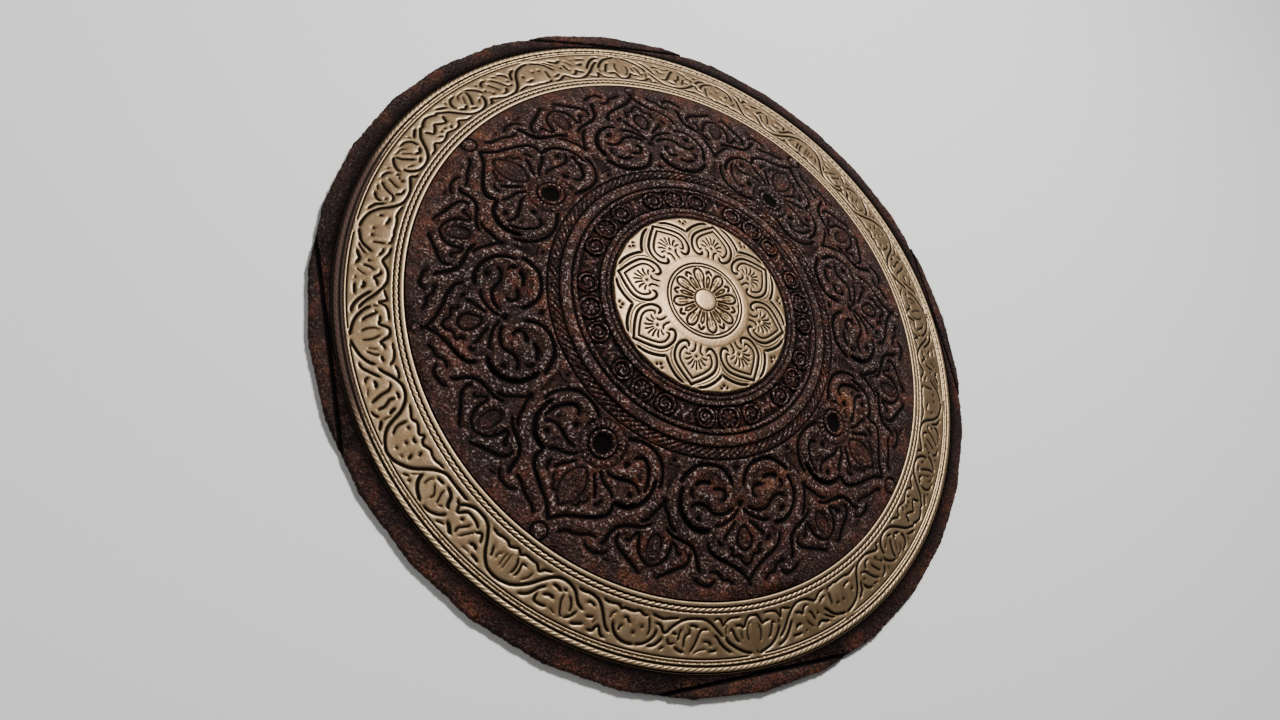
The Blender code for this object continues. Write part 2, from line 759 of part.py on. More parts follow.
def slit_cutters():
    # Straight slits across the rim, each centred between two rosettes.
    half = math.sqrt(RIM_RADIUS**2 - SLIT_DISTANCE**2) + SLIT_WIDTH
    made = []
    for k in range(SLIT_COUNT):
        turn = math.tau * (k + 0.5) / SLIT_COUNT
        bpy.ops.mesh.primitive_cube_add(size=1)
        slit = bpy.context.object
        slit.name = f"slit_cutter_{k + 1}"
        low = face_height(SLIT_DISTANCE) - SLIT_DEPTH
        slit.dimensions = (SLIT_WIDTH, 2 * half, 2 * SLIT_DEPTH)
        slit.rotation_euler = (0, 0, turn)
        slit.location = (SLIT_DISTANCE * math.cos(turn), SLIT_DISTANCE * math.sin(turn), low + SLIT_DEPTH)
        for old in list(slit.users_collection):
            old.objects.unlink(slit)
        cutters.objects.link(slit)
        made.append(slit)
    return made


# Materials

def material(name, colour, metallic, roughness):
    made = bpy.data.materials.new(name)
    made.use_nodes = True
    shader = made.node_tree.nodes["Principled BSDF"]
    shader.inputs["Base Color"].default_value = (*colour, 1)
    shader.inputs["Metallic"].default_value = metallic
    shader.inputs["Roughness"].default_value = roughness
    return made


def finish(piece, finish_of):
    piece.data.materials.append(finish_of)
    piece.data.shade_smooth()
    piece.data.set_sharp_from_angle(angle=math.radians(40))


for old_object in list(bpy.data.objects):
    bpy.data.objects.remove(old_object)

shield = bpy.data.collections.new("buckler_shield")
cutters = bpy.data.collections.new("cutters")
bpy.context.scene.collection.children.link(shield)
bpy.context.scene.collection.children.link(cutters)

body = shield_body()
ring = brass_ring()
plate = centre_plate()
for piece in (body, ring, plate):
    shield.objects.link(piece)
handle = grip()
rivets = [rivet("grip_rivet_1", -1), rivet("grip_rivet_2", 1)]
for number, side in ((1, -1), (2, 1)):
    place, up = rivet_axis(side)
    hole_radius = RIVET_RADIUS + FIT_GAP
    reach = RIVET_BITE + 2 * FIT_GAP
    hole = rod(f"hole_cutter_{number}", hole_radius, place - up * HOLE_RUN, HOLE_RUN + reach, up, cutters)
    cut(handle, hole)
    cut(body, hole)
for slit in slit_cutters():
    cut(body, slit)

finish(body, material("rusted iron", (0.075, 0.045, 0.035), 0.6, 0.6))
brass = material("aged brass", (0.56, 0.44, 0.27), 1.0, 0.35)
finish(ring, brass)
finish(plate, brass)
grip_iron = material("forged iron", (0.07, 0.055, 0.05), 0.8, 0.55)
finish(handle, grip_iron)
for one in rivets:
    finish(one, grip_iron)
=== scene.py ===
# Buckler shield: carved faces, finishes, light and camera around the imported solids.
# Carving is read and drawn in millimetres; meshes are made in metres.
import math

import bpy
import numpy as np
from mathutils import Matrix, Vector, noise


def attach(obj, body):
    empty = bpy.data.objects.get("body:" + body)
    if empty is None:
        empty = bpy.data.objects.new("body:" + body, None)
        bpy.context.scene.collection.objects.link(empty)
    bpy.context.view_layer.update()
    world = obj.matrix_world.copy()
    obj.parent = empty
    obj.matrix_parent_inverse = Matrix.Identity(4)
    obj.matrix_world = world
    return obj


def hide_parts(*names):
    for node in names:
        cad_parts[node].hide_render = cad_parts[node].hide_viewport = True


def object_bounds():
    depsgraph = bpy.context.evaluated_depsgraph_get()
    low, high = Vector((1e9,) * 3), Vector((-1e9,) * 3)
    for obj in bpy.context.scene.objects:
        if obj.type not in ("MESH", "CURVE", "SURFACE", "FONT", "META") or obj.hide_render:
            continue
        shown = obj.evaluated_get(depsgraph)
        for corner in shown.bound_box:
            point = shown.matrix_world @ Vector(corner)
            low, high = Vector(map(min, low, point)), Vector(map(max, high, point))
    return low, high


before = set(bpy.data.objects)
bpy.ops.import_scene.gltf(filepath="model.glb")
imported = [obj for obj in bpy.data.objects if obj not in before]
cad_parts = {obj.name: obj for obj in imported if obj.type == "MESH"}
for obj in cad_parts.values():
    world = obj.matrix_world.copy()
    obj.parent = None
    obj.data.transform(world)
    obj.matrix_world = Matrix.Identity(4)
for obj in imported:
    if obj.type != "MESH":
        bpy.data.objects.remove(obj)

cadBox = [list(map(float, corner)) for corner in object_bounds()]
print("frame loaded")

tau = math.tau


# The dome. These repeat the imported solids' own form

dome = {
    "crownArc": 389.0,       # radius of the ball at the crown
    "flankSlope": 0.236,     # cone outside the ball
    "rimSlope": 0.19,        # flatter outside the brass ring
    "rimRadius": 200.0,      # to a corner of the rim
    "rimSides": 32,
    "rimHeight": 4.5,
    "rimFoot": 9.0,
    "seatDepth": 2.2,
    "wall": 1.5,
    "plateSeat": 52.0,
    "ringSeat": (154.2, 188.7),
    "fitGap": 0.3,
}


def drop(radius):
    # fall of the face from the crown
    tangent = dome["crownArc"] * math.sin(math.atan(dome["flankSlope"]))
    ball = np.minimum(radius, tangent)
    cone = np.maximum(radius - tangent, 0)
    ease = np.maximum(radius - dome["ringSeat"][1] + dome["fitGap"], 0)
    ease = ease * (dome["flankSlope"] - dome["rimSlope"])
    return dome["crownArc"] - np.sqrt(dome["crownArc"] ** 2 - ball**2) + cone * dome["flankSlope"] - ease


def faceHeight(radius):
    return dome["rimHeight"] + drop(dome["rimRadius"]) - drop(np.asarray(radius, float))


def seatHeight(radius):
    return faceHeight(radius) - dome["seatDepth"]


def insideHeight(radius):
    return seatHeight(radius) - dome["wall"]


# Drawing tools: smooth lines cut into or raised on a flat field

def smoothLine(points, step=0.5):
    # close points on a curve through the drawn ones
    drawn = np.array(points, float)
    if len(drawn) < 3:
        count = max(2, int(np.hypot(*(drawn[-1] - drawn[0])) / step)) + 1
        return np.linspace(drawn[0], drawn[-1], count)
    padded = np.vstack([2 * drawn[0] - drawn[1], drawn, 2 * drawn[-1] - drawn[-2]])
    out = []
    for a, b, c, d in zip(padded[:-3], padded[1:-2], padded[2:-1], padded[3:]):
        count = max(2, int(np.hypot(*(c - b)) / step))
        t = np.arange(count)[:, None] / count
        bend = (2 * a - 5 * b + 4 * c - d) * t**2 + (3 * b - a - 3 * c + d) * t**3
        out.append(0.5 * (2 * b + (c - a) * t + bend))
    out.append(drawn[-1:])
    return np.vstack(out)


class Field:
    # heights over a grid of flat points: what is cut, what is raised, and how the ground rounds off
    wider = 1.3  # cuts and ribs come out this much wider than drawn

    def __init__(self, angle, radius, look):
        self.x = radius * np.cos(angle)
        self.y = radius * np.sin(angle)
        self.cut = np.zeros(angle.shape)
        self.rise = np.zeros(angle.shape)
        self.soft = np.zeros(angle.shape)
        self.shoulder = look["shoulder"]
        self.reach = look["reach"]

    def near(self, line, wide):
        low = line.min(0) - wide
        high = line.max(0) + wide
        inX = (self.x > low[0]) & (self.x < high[0])
        return inX & (self.y > low[1]) & (self.y < high[1])

    def measure(self, line, wide):
        # distance to the line for the points near it, and how far along the line they are
        here = self.near(line, wide)
        px = self.x[here]
        py = self.y[here]
        best = np.full(px.shape, 1e9)
        place = np.zeros(px.shape)
        run = 0.0
        for (ax, ay), (bx, by) in zip(line[:-1], line[1:]):
            dx = bx - ax
            dy = by - ay
            size = dx * dx + dy * dy + 1e-12
            t = np.clip(((px - ax) * dx + (py - ay) * dy) / size, 0, 1)
            away = (px - ax - t * dx) ** 2 + (py - ay - t * dy) ** 2
            closer = away < best
            best = np.where(closer, away, best)
            place = np.where(closer, run + t * math.sqrt(size), place)
            run += math.sqrt(size)
        return here, np.sqrt(best), place, run

    def groove(self, line, half, depth, openEnds=(True, True)):
        # a cut with tapering ends; a depth below zero raises a rib instead
        half = half * self.wider
        here, away, place, run = self.measure(line, max(self.reach + abs(half), half) + 0.5)
        if not away.size:
            return
        tip = min(2.2, 0.3 * run)
        ease = np.ones(away.shape)
        if openEnds[0]:
            ease = np.minimum(ease, 0.5 + place / tip)
        if openEnds[1]:
            ease = np.minimum(ease, 0.5 + (run - place) / tip)
        share = np.clip(1 - away / (half * (0.35 + 0.65 * ease)), 0, 1)
        if depth > 0:
            shape = 1 - (1 - share) ** 1.7
            self.cut[here] = np.maximum(self.cut[here], depth * ease * shape)
            lean = np.clip(1 - (away - half * 0.5) / self.reach, 0, 1) ** 2
            strength = self.shoulder * min(1, depth / 1.2)
            self.soft[here] = np.maximum(self.soft[here], strength * ease * np.minimum(lean, 1))
        else:
            shape = np.sqrt(1 - (1 - share) ** 2)
            self.rise[here] = np.maximum(self.rise[here], -depth * ease * shape)

    def pit(self, x, y, radius, depth):
        away = np.hypot(self.x - x, self.y - y)
        share = np.clip(1 - (away / radius) ** 2, 0, 1)
        if depth > 0:
            self.cut = np.maximum(self.cut, depth * share**0.7)
            lean = np.clip(1 - (away - radius) / self.reach, 0, 1) ** 2
            self.soft = np.maximum(self.soft, self.shoulder * 0.8 * lean)
        else:
            self.rise = np.maximum(self.rise, -depth * share**0.5)

    def height(self):
        return self.rise * (1 - np.clip(self.cut / 0.8, 0, 1)) - np.maximum(self.cut, self.soft)


def turnedPlace(axis, side=1):
    # from a motif's own drawing (across, outwards) to the flat field
    cos = math.cos(math.radians(axis))
    sin = math.sin(math.radians(axis))

    def place(points, origin):
        points = np.array(points, float)
        across = points[:, 0] * side
        along = points[:, 1] + origin
        return np.column_stack([along * cos + across * sin, along * sin - across * cos])

    return place


def draw(field, motif, place, origin):
    for half, depth, *points in motif.get("cuts", []):
        ends = (points[0][0] != 0, points[-1][0] != 0)
        field.groove(smoothLine(place(points, origin)), half, depth, ends)
    for half, depth, *points in motif.get("ribs", []):
        field.groove(smoothLine(place(points, origin)), half, -depth)
    for radius, depth, across, out in motif.get("pits", []):
        x, y = place([(across, out)], origin)[0]
        field.pit(x, y, radius, depth)


def lineAt(distance, half):
    # 1 on a line and 0 beside it
    return np.clip(1 - np.abs(distance) / half, 0, 1)


def ridge(radius, inner, outer, rise):
    # a rounded moulding between two radii
    middle = (inner + outer) / 2
    share = np.clip(1 - ((radius - middle) / ((outer - inner) / 2)) ** 2, 0, 1)
    return rise * np.sqrt(share)


def rope(angle, radius, inner, outer, strands, slant, rise, notch):
    # twisted strands: each leans by slant of a strand from edge to edge
    middle = (inner + outer) / 2
    across = (radius - middle) / ((outer - inner) / 2)
    rounded = np.sqrt(np.clip(1 - across**2, 0, 1))
    phase = angle * strands / tau + slant * across / 2
    bulge = np.abs(np.sin(math.pi * phase))
    return rise * rounded * (1 - notch + notch * bulge)


def mirrored(wedge):
    # one eighth of the circle, folded out all the way round
    half = np.concatenate([wedge, wedge[:, -2:0:-1]], 1)
    return np.concatenate([half] * 4, 1)


def blurred(height, rows, columns):
    # mean over a box, round the circle and up to the edges
    padded = np.pad(height, ((rows, rows), (0, 0)), mode="edge")
    run = np.cumsum(np.vstack([np.zeros((1, padded.shape[1])), padded]), 0)
    tall = (run[2 * rows + 1 :] - run[: -2 * rows - 1]) / (2 * rows + 1)
    wide = np.concatenate([tall[:, -columns:], tall, tall[:, :columns]], 1)
    run = np.cumsum(np.hstack([np.zeros((wide.shape[0], 1)), wide]), 1)
    return (run[:, 2 * columns + 1 :] - run[:, : -2 * columns - 1]) / (2 * columns + 1)


# Mesh tools: rings of points joined into one closed body

def ringPoints(count, radius, height):
    angle = np.arange(count) * tau / count
    radius = np.broadcast_to(radius, angle.shape)
    height = np.broadcast_to(height, angle.shape)
    return np.column_stack([radius * np.cos(angle), radius * np.sin(angle), height])


def between(a, countA, b, countB):
    # triangles from ring a to ring b, where one count is a multiple of the other
    if countA == 1:
        i = np.arange(countB)
        return np.column_stack([np.full(countB, a), b + i, b + (i + 1) % countB])
    if countB == 1:
        i = np.arange(countA)
        return np.column_stack([a + i, np.full(countA, b), a + (i + 1) % countA])
    if countA == countB:
        i = np.arange(countA)
        j = (i + 1) % countA
        first = np.column_stack([a + i, b + i, b + j])
        return np.vstack([first, np.column_stack([a + i, b + j, a + j])])
    if countA < countB:
        k = countB // countA
        j = np.arange(countB)
        c = np.floor((j + 0.5) / k + 0.5).astype(int) % countA
        fans = np.column_stack([a + c, b + j, b + (j + 1) % countB])
        i = np.arange(countA)
        f = np.floor((i + 0.5) * k).astype(int) % countB
        return np.vstack([fans, np.column_stack([a + i, b + f, a + (i + 1) % countA])])
    return between(b, countB, a, countA)[:, ::-1]


def meshOf(name, rings, most):
    # rings run from the middle of the top outwards and back underneath; most is the triangle limit
    starts = np.cumsum([0] + [len(r) for r in rings])
    faces = [
        between(starts[k], len(rings[k]), starts[k + 1], len(rings[k + 1])) for k in range(len(rings) - 1)
    ]
    faces = np.vstack(faces).astype(np.int32)
    points = np.vstack(rings) * 0.001
    mesh = bpy.data.meshes.new(name)
    mesh.vertices.add(len(points))
    mesh.vertices.foreach_set("co", points.astype(np.float32).ravel())
    mesh.loops.add(faces.size)
    mesh.loops.foreach_set("vertex_index", faces.ravel())
    mesh.polygons.add(len(faces))
    mesh.polygons.foreach_set("loop_start", np.arange(len(faces), dtype=np.int32) * 3)
    mesh.update(calc_edges=True)
    piece = bpy.data.objects.new(name, mesh)
    bpy.context.scene.collection.objects.link(piece)
    if len(faces) > most:
        thin = piece.modifiers.new("fewer faces", "DECIMATE")
        thin.ratio = most / len(faces)
        thin.use_collapse_triangulate = True
        shown = piece.evaluated_get(bpy.context.evaluated_depsgraph_get())
        lighter = bpy.data.meshes.new_from_object(shown)
        piece.modifiers.clear()
        piece.data = lighter
        lighter.name = name
        bpy.data.meshes.remove(mesh)
    print(name, len(faces), "faces drawn,", len(piece.data.polygons), "kept")
    return piece


def pointsOf(piece):
    flat = np.zeros(len(piece.data.vertices) * 3, np.float32)
    piece.data.vertices.foreach_get("co", flat)
    return flat.reshape(-1, 3).astype(float) * 1000


def setPoints(piece, points):
    piece.data.vertices.foreach_set("co", (points * 0.001).astype(np.float32).ravel())
    piece.data.update()


def setMask(piece, name, values):
    mask = piece.data.attributes.new(name, "FLOAT", "POINT")
    mask.data.foreach_set("value", np.clip(values, 0, 1).astype(np.float32))


def waver(points, size, seed):
    # smooth noise, -1 to 1, at each point
    shift = Vector((seed * 17.3, seed * 5.1, seed * 9.7))
    scaled = points / size
    return np.array([noise.noise(Vector(p) + shift) for p in scaled])


def looked(table, rows, angle, radius):
    # value of a grid round the circle at each point, between its rows and columns
    count = table.shape[1]
    across = (angle % tau) / tau * count
    left = np.floor(across).astype(int)
    partX = across - left
    up = np.clip((radius - rows[0]) / (rows[1] - rows[0]), 0, len(rows) - 1.001)
    low = np.floor(up).astype(int)
    partY = up - low
    left = left % count
    right = (left + 1) % count
    bottom = table[low, left] * (1 - partX) + table[low, right] * partX
    top = table[low + 1, left] * (1 - partX) + table[low + 1, right] * partX
    return bottom * (1 - partY) + top * partY


# these masks carry painted shade into the hollows and painted highlights onto the crests, along with dirt
# and wear
def wearShadeAndSheenMasks(piece, heights, rows, box, hollowAt, crestAt, top, dark=0):
    # hollow: how far a point lies below what is round it; crest: how far above. top picks the face.
    mean = blurred(heights, *box)
    points = pointsOf(piece)
    angle = np.arctan2(points[:, 1], points[:, 0])
    radius = np.hypot(points[:, 0], points[:, 1])
    on = top(points, radius) & (radius >= rows[0] - 0.5) & (radius <= rows[-1] + 0.5)
    lift = looked(heights - mean, rows, angle, radius)
    deep = np.clip(-looked(heights, rows, angle, radius) / hollowAt, 0, 2)
    hollow = np.where(on, 0.75 * np.clip(-lift / hollowAt, 0, 2) + 0.4 * deep, 0)
    setMask(piece, "hollow", np.maximum(hollow, dark))
    setMask(piece, "crest", np.where(on, lift / crestAt, 0))


# Carving of the iron, drawn in mm across an axis and outwards from radius 86.
# Each cut or rib: half its width, depth or rise, then its points; each pit: radius, depth, place.

ironCarving = {
    "origin": 86.0,
    "shoulder": 0.85,
    "reach": 2.6,
    "rosette": {
        "cuts": [
            (1.0, 1.7, (0, 57.8), (3, 54.3), (6.5, 51.2), (11.3, 48.4), (16.7, 45), (20.2, 42.2),
             (22.4, 39), (22.5, 36.2), (21.3, 33)),
            (1.2, 1.9, (21.3, 32.5), (24.5, 32.2), (28.3, 30.6), (31.2, 27.8), (33.4, 24), (34.2, 19.5),
             (33.8, 15), (32.5, 11)),
            (1.0, 1.7, (7.5, 4.3), (10.5, 3), (14.5, 0.8), (19, -0.4), (24, -0.3), (28.5, 1.6),
             (32.5, 4.7), (35.2, 8.8), (36.2, 13.5)),
            (0.9, 1.4, (7, 60.3), (10, 57.3), (14, 55.9), (18, 53.8), (21, 51.6), (25, 50.5)),
            (0.9, 1.3, (20.5, 56), (24.5, 57.4), (28.8, 56.6), (31.8, 54.3), (32, 52)),
            (0.5, 0.7, (13, 59), (18, 59)),
            (0.7, 1.0, (32, 56.3), (36.4, 56.1)),
            (0.7, 1.1, (0, 49.5), (2.2, 47.5), (4.5, 44.5), (5.9, 40.5), (6, 36.5), (4.5, 32.2),
             (1.8, 28.8), (0, 27.8)),
            (0.7, 1.2, (4.3, 44.6), (6.3, 45.3), (7.8, 44), (7.7, 42), (9.5, 41.6), (10.3, 39.7),
             (10, 37.5)),
            (0.9, 1.5, (12.9, 37.3), (10.5, 33.7), (7.6, 30.2), (5, 27)),
            (0.8, 1.3, (13.7, 39.8), (15.3, 38.4), (15.8, 36.5), (15.5, 34.5)),
            (0.9, 1.5, (20.2, 31.4), (17.5, 29.6), (15, 28.7), (11, 27.7), (8.2, 25.6), (6.6, 24)),
            (0.9, 1.5, (17.5, 10), (19.5, 7.3), (22.3, 6.7), (25.5, 8.7), (28.5, 12.2), (30.7, 17),
             (31, 20)),
            (0.9, 1.5, (9.5, 23), (13, 23.3), (16.5, 22.2), (20.5, 20.4), (24.5, 19.3), (27.5, 20),
             (29.6, 22)),
            (0.5, 0.7, (17.8, 23.5), (19.5, 25.5), (21.3, 27)),
            (0.5, 0.8, (2.2, 44), (3.2, 40), (2.8, 35.5), (1.2, 31.5)),
            (0.4, 0.7, (0, 45.5), (0, 33)),
        ],
        "ribs": [
            (1.5, 0.7, (13, 46), (18, 43.5), (20.7, 40), (21.2, 36), (21, 32)),
            (1.7, 0.9, (23, 30), (28, 28.5), (31.3, 24), (32.3, 18), (31.3, 12), (28, 7), (22, 3.7),
             (17, 3.5), (13, 5.5), (11, 9.5), (11.5, 14)),
            (2.3, 0.9, (15, 20), (18, 19), (20, 16), (20.5, 12)),
            (1.0, 0.5, (7, 36), (9.5, 33), (4.5, 27.5)),
        ],
        "pits": [(1.7, 1.8, 16, 14), (1.4, 1.6, 25.8, 24.8), (0.9, 1.1, 25.8, 15.8)],
    },
    "volutes": {
        "cuts": [
            (1.0, 1.7, (0, 60), (2, 57.6), (4.7, 54.7), (8.3, 52.2), (12, 49.8), (16.2, 47.4),
             (19.5, 44.7), (21.2, 42), (21.6, 38.8)),
            (1.2, 1.9, (19.5, 33.4), (24, 33.3), (28, 31.5), (31.7, 27.7), (33.9, 23.3), (34.5, 19),
             (33.5, 14.5), (31.5, 10.5)),
            (1.1, 1.8, (3.3, 13), (4.3, 9.3), (6.2, 6), (9.2, 3.1), (13.2, 1.5), (18, 0.8), (22.5, 1.1),
             (26.5, 3), (29.8, 5.3), (32.5, 7.8)),
            (1.0, 1.7, (4, 23.5), (7, 25.3), (10.5, 26.2), (14.5, 26), (17, 24.5), (19, 22.2),
             (22, 20.2), (25.5, 19.5), (28.5, 20.8)),
            (1.0, 1.6, (1, 24), (3, 26.3), (5.5, 28.4), (9, 30.1), (13, 31.4), (16.5, 31.3)),
            (0.9, 1.4, (9, 59.7), (10, 60), (12.5, 58), (15.5, 57.5), (17.5, 54.5), (20.5, 52.9),
             (23, 53.2)),
            (0.9, 1.4, (19.5, 57), (23, 59.3), (26, 59), (29.5, 57), (32, 54.5)),
            (1.3, 1.6, (10, 14), (12.5, 13.4), (15, 13.5)),
            (0.9, 1.3, (13, 13.5), (10.5, 13.5), (8.3, 16), (8.7, 18.8), (11, 19.5)),
            (1.1, 1.9, (15.5, 10.5), (20.3, 9.2), (24.6, 10.4)),
            (0.7, 1.1, (25.3, 16.8), (27.7, 14.5), (27, 11.5)),
            (0.5, 0.7, (20, 24), (21.5, 23), (23, 22.5)),
            (0.9, 1.4, (0, 52.5), (2.3, 50.8), (4.2, 47.6), (6.3, 47.2), (8.4, 46.6), (7.6, 44.3),
             (9.9, 42.5)),
            (0.8, 1.3, (0, 45), (2.5, 44), (4, 42), (4.3, 39.5), (3.5, 37.3), (1.6, 33.8), (0, 33.5)),
            (1.0, 1.6, (13, 41.4), (14.8, 40.2), (15.2, 38.6)),
            (0.9, 1.5, (11.9, 39.6), (11, 37.3), (7.8, 34.3), (3.7, 30.2)),
            (0.6, 0.8, (18.3, 41.4), (18.8, 38), (17, 34.5)),
            (0.5, 0.8, (0, 42), (1.6, 40.5), (1.4, 37.5), (0, 36.5)),
        ],
        "ribs": [
            (1.5, 0.7, (10, 48.5), (15, 45.7), (18.5, 43), (19.8, 40), (19.8, 36)),
            (1.7, 0.9, (20, 31), (25, 30.5), (29.5, 27.5), (31.8, 23), (32.3, 18.5), (31, 13.5), (28, 9),
             (24, 5.5), (18.5, 3.8), (13, 4.6), (9, 7), (6.8, 10.5), (6.2, 14.5), (7, 19), (9.5, 22)),
            (2.0, 0.8, (14, 20), (17.5, 17.5), (21, 15), (24, 13.5)),
        ],
        "pits": [(2.2, 1.8, 0, 22), (1.3, 1.6, 27, 13), (1.5, 1.7, 25.3, 26.6), (2.0, 1.7, 0, 3.9),
                 (1.5, 1.4, 0, 61.5)],
    },
    "tulip": {
        "cuts": [
            (1.0, 1.5, (4.5, 60.8), (8, 58.2), (12.5, 55.2), (17, 52.3), (19.3, 49.8), (19.8, 47.5),
             (19, 45)),
            (0.6, 1.0, (4.5, 61), (3, 58.2), (0.3, 56.4)),
            (0.9, 1.4, (0, 56), (3, 54.8), (5.7, 53), (7.5, 50.3), (8.4, 47.5), (8.7, 44.5), (9, 42.8),
             (10.3, 42.6), (11.8, 44.5), (13, 46.8), (14.3, 47), (15.2, 45.6)),
            (0.6, 0.9, (18.2, 47.5), (17.5, 45.5), (16, 44.3)),
            (0.6, 1.0, (0, 53.5), (2.2, 52), (3.4, 49), (3.6, 45.5), (2.4, 42.3), (0, 40.5)),
            (0.5, 0.8, (0, 50.5), (1.3, 48), (1.5, 45), (0.9, 42.8), (0, 42.2)),
            (1.0, 1.7, (27.5, 52.5), (25.3, 50.3), (24.5, 48), (23, 45), (20.8, 42.6), (17.5, 41),
             (13, 40.2), (8.5, 39.2), (5.5, 37.7), (3.8, 36.2)),
            (0.6, 0.9, (3.8, 36.2), (3, 34), (1.5, 31.5), (0, 30)),
            (1.0, 1.6, (10, 37.3), (7, 35.6), (5, 33), (3.3, 30.3), (1.3, 27.5), (0.3, 25)),
            (0.5, 0.9, (0, 17), (0, 8)),
            (0.5, 0.9, (1.2, 15), (2.6, 8.5)),
            (0.7, 1.2, (0, 6.5), (3.5, 6.3)),
        ],
        "ribs": [
            (1.3, 0.6, (6, 48), (5.8, 44), (4.5, 40), (7.5, 41)),
            (1.3, 0.6, (21.5, 47), (20.5, 44.6), (17, 42.8), (12, 42)),
        ],
        "pits": [(1.7, 1.8, 0, 24.5), (1.4, 1.4, 0, 3.5)],
    },
    "eye": {  # the ringed hole in each rosette
        "out": 13.6,
        "hole": 5.55,
        "holeDepth": 2.0,
        "rim": 7.1,
        "rimRise": 0.8,
        "beads": (7.6, 11.5),
        "beadCount": 24,
        "beadRise": 0.9,
        "beadSink": 0.1,
        "gapDepth": 1.15,
        "unevenness": 0.3,
        "rimLine": (0.25, 0.55, 1.3),   # mm outside the rim, half width, depth
        "edge": 12.1,
        "edgeLine": (0.8, 0.8),
        "margin": 0.9,
    },
    "bell": {  # the sunk ground under each tulip, on the axis between the large motifs
        "axis": 22.5,
        "out": (6.5, 7.5, 20.0),
        "half": (0.0, 5.2, 0.6),
        "depth": 0.9,
        "side": 1.2,
    },
    "border": (85.8, 0.8, 1.4),         # the cut that closes the band inwards: radius, half width, depth
    "knob": {  # a small ball at each motif's tip, smaller on the volutes' axes
        "out": 65.0,
        "radius": 3.7,
        "lesser": 0.6,
        "rise": 0.6,
        "ringDepth": 0.35,
        "ringHalf": 0.9,
        "ringGap": 0.6,
    },
}


def replaceWith(field, shape, inside):
    # a heightened form that takes the place of what is drawn there
    field.cut = np.where(inside, np.maximum(-shape, 0), field.cut)
    field.rise = np.where(inside, np.maximum(shape, 0), field.rise)
    field.soft = np.where(inside, 0, field.soft)


def rosetteEye(field, eye, origin):
    # hole, bright rim and a wheel of beads about the rosette's own middle
    x = field.x - origin - eye["out"]
    away = np.hypot(x, field.y)
    turn = np.arctan2(field.y, x)
    hole = eye["holeDepth"] * np.clip(1 - (away / eye["hole"]) ** 5, 0, 1)
    rim = ridge(away, eye["hole"] - 0.2, eye["rim"], eye["rimRise"])
    beadIn, beadOut = eye["beads"]
    gaps = 1 - np.abs(np.sin(turn * eye["beadCount"] / 2 + eye["unevenness"] * np.sin(turn * 3)))
    wheel = (away > beadIn) & (away < beadOut)
    bead = ridge(away, beadIn, beadOut, eye["beadRise"]) - eye["gapDepth"] * gaps * wheel
    bead = bead - eye["beadSink"] * wheel
    gap, half, depth = eye["rimLine"]
    lines = depth * lineAt(away - eye["rim"] - gap, half)
    half, depth = eye["edgeLine"]
    lines = lines + depth * lineAt(away - eye["edge"], half)
    replaceWith(field, rim + bead - hole - lines, away < eye["edge"] + eye["margin"])


def sinkBell(field, bell, origin):
    axis = math.radians(bell["axis"])
    across = np.abs(-field.x * math.sin(axis) + field.y * math.cos(axis))
    along = field.x * math.cos(axis) + field.y * math.sin(axis) - origin
    wide = np.interp(along, bell["out"], bell["half"], left=0, right=0)
    inside = (along < bell["out"][-1]) & (along > bell["out"][0])
    sunk = bell["depth"] * np.clip((wide - across) / bell["side"], 0, 1) * inside
    field.soft = np.maximum(field.soft, sunk)


def raiseKnob(field, knob, axis, size, origin):
    x, y = turnedPlace(axis)([(0, knob["out"])], origin)[0]
    away = np.hypot(field.x - x, field.y - y)
    field.cut = np.where(away < size, 0, field.cut)
    field.soft = np.where(away < size, 0, field.soft)
    ring = knob["ringDepth"] * size * lineAt(away - size - knob["ringGap"], knob["ringHalf"])
    field.cut = np.maximum(field.cut, ring)
    field.rise = np.maximum(field.rise, knob["rise"] * np.sqrt(np.clip(1 - (away / size) ** 2, 0, 1)))


def ironField(angle, radius):
    # heights of one eighth of the wide carved band: half a rosette, a tulip and half a pair of volutes
    field = Field(angle, radius, ironCarving)
    origin = ironCarving["origin"]
    draw(field, ironCarving["rosette"], turnedPlace(0, -1), origin)
    draw(field, ironCarving["volutes"], turnedPlace(45, 1), origin)
    for side in (1, -1):
        draw(field, ironCarving["tulip"], turnedPlace(22.5, side), origin)
    sinkBell(field, ironCarving["bell"], origin)
    rosetteEye(field, ironCarving["eye"], origin)
    middle, half, depth = ironCarving["border"]
    field.cut = np.maximum(field.cut, depth * lineAt(radius - middle, half))
    knob = ironCarving["knob"]
    raiseKnob(field, knob, 0, knob["radius"], origin)
    raiseKnob(field, knob, 45, knob["radius"] * knob["lesser"], origin)
    return field.height()


# Narrow bands between the plate and the wide carving, as radii

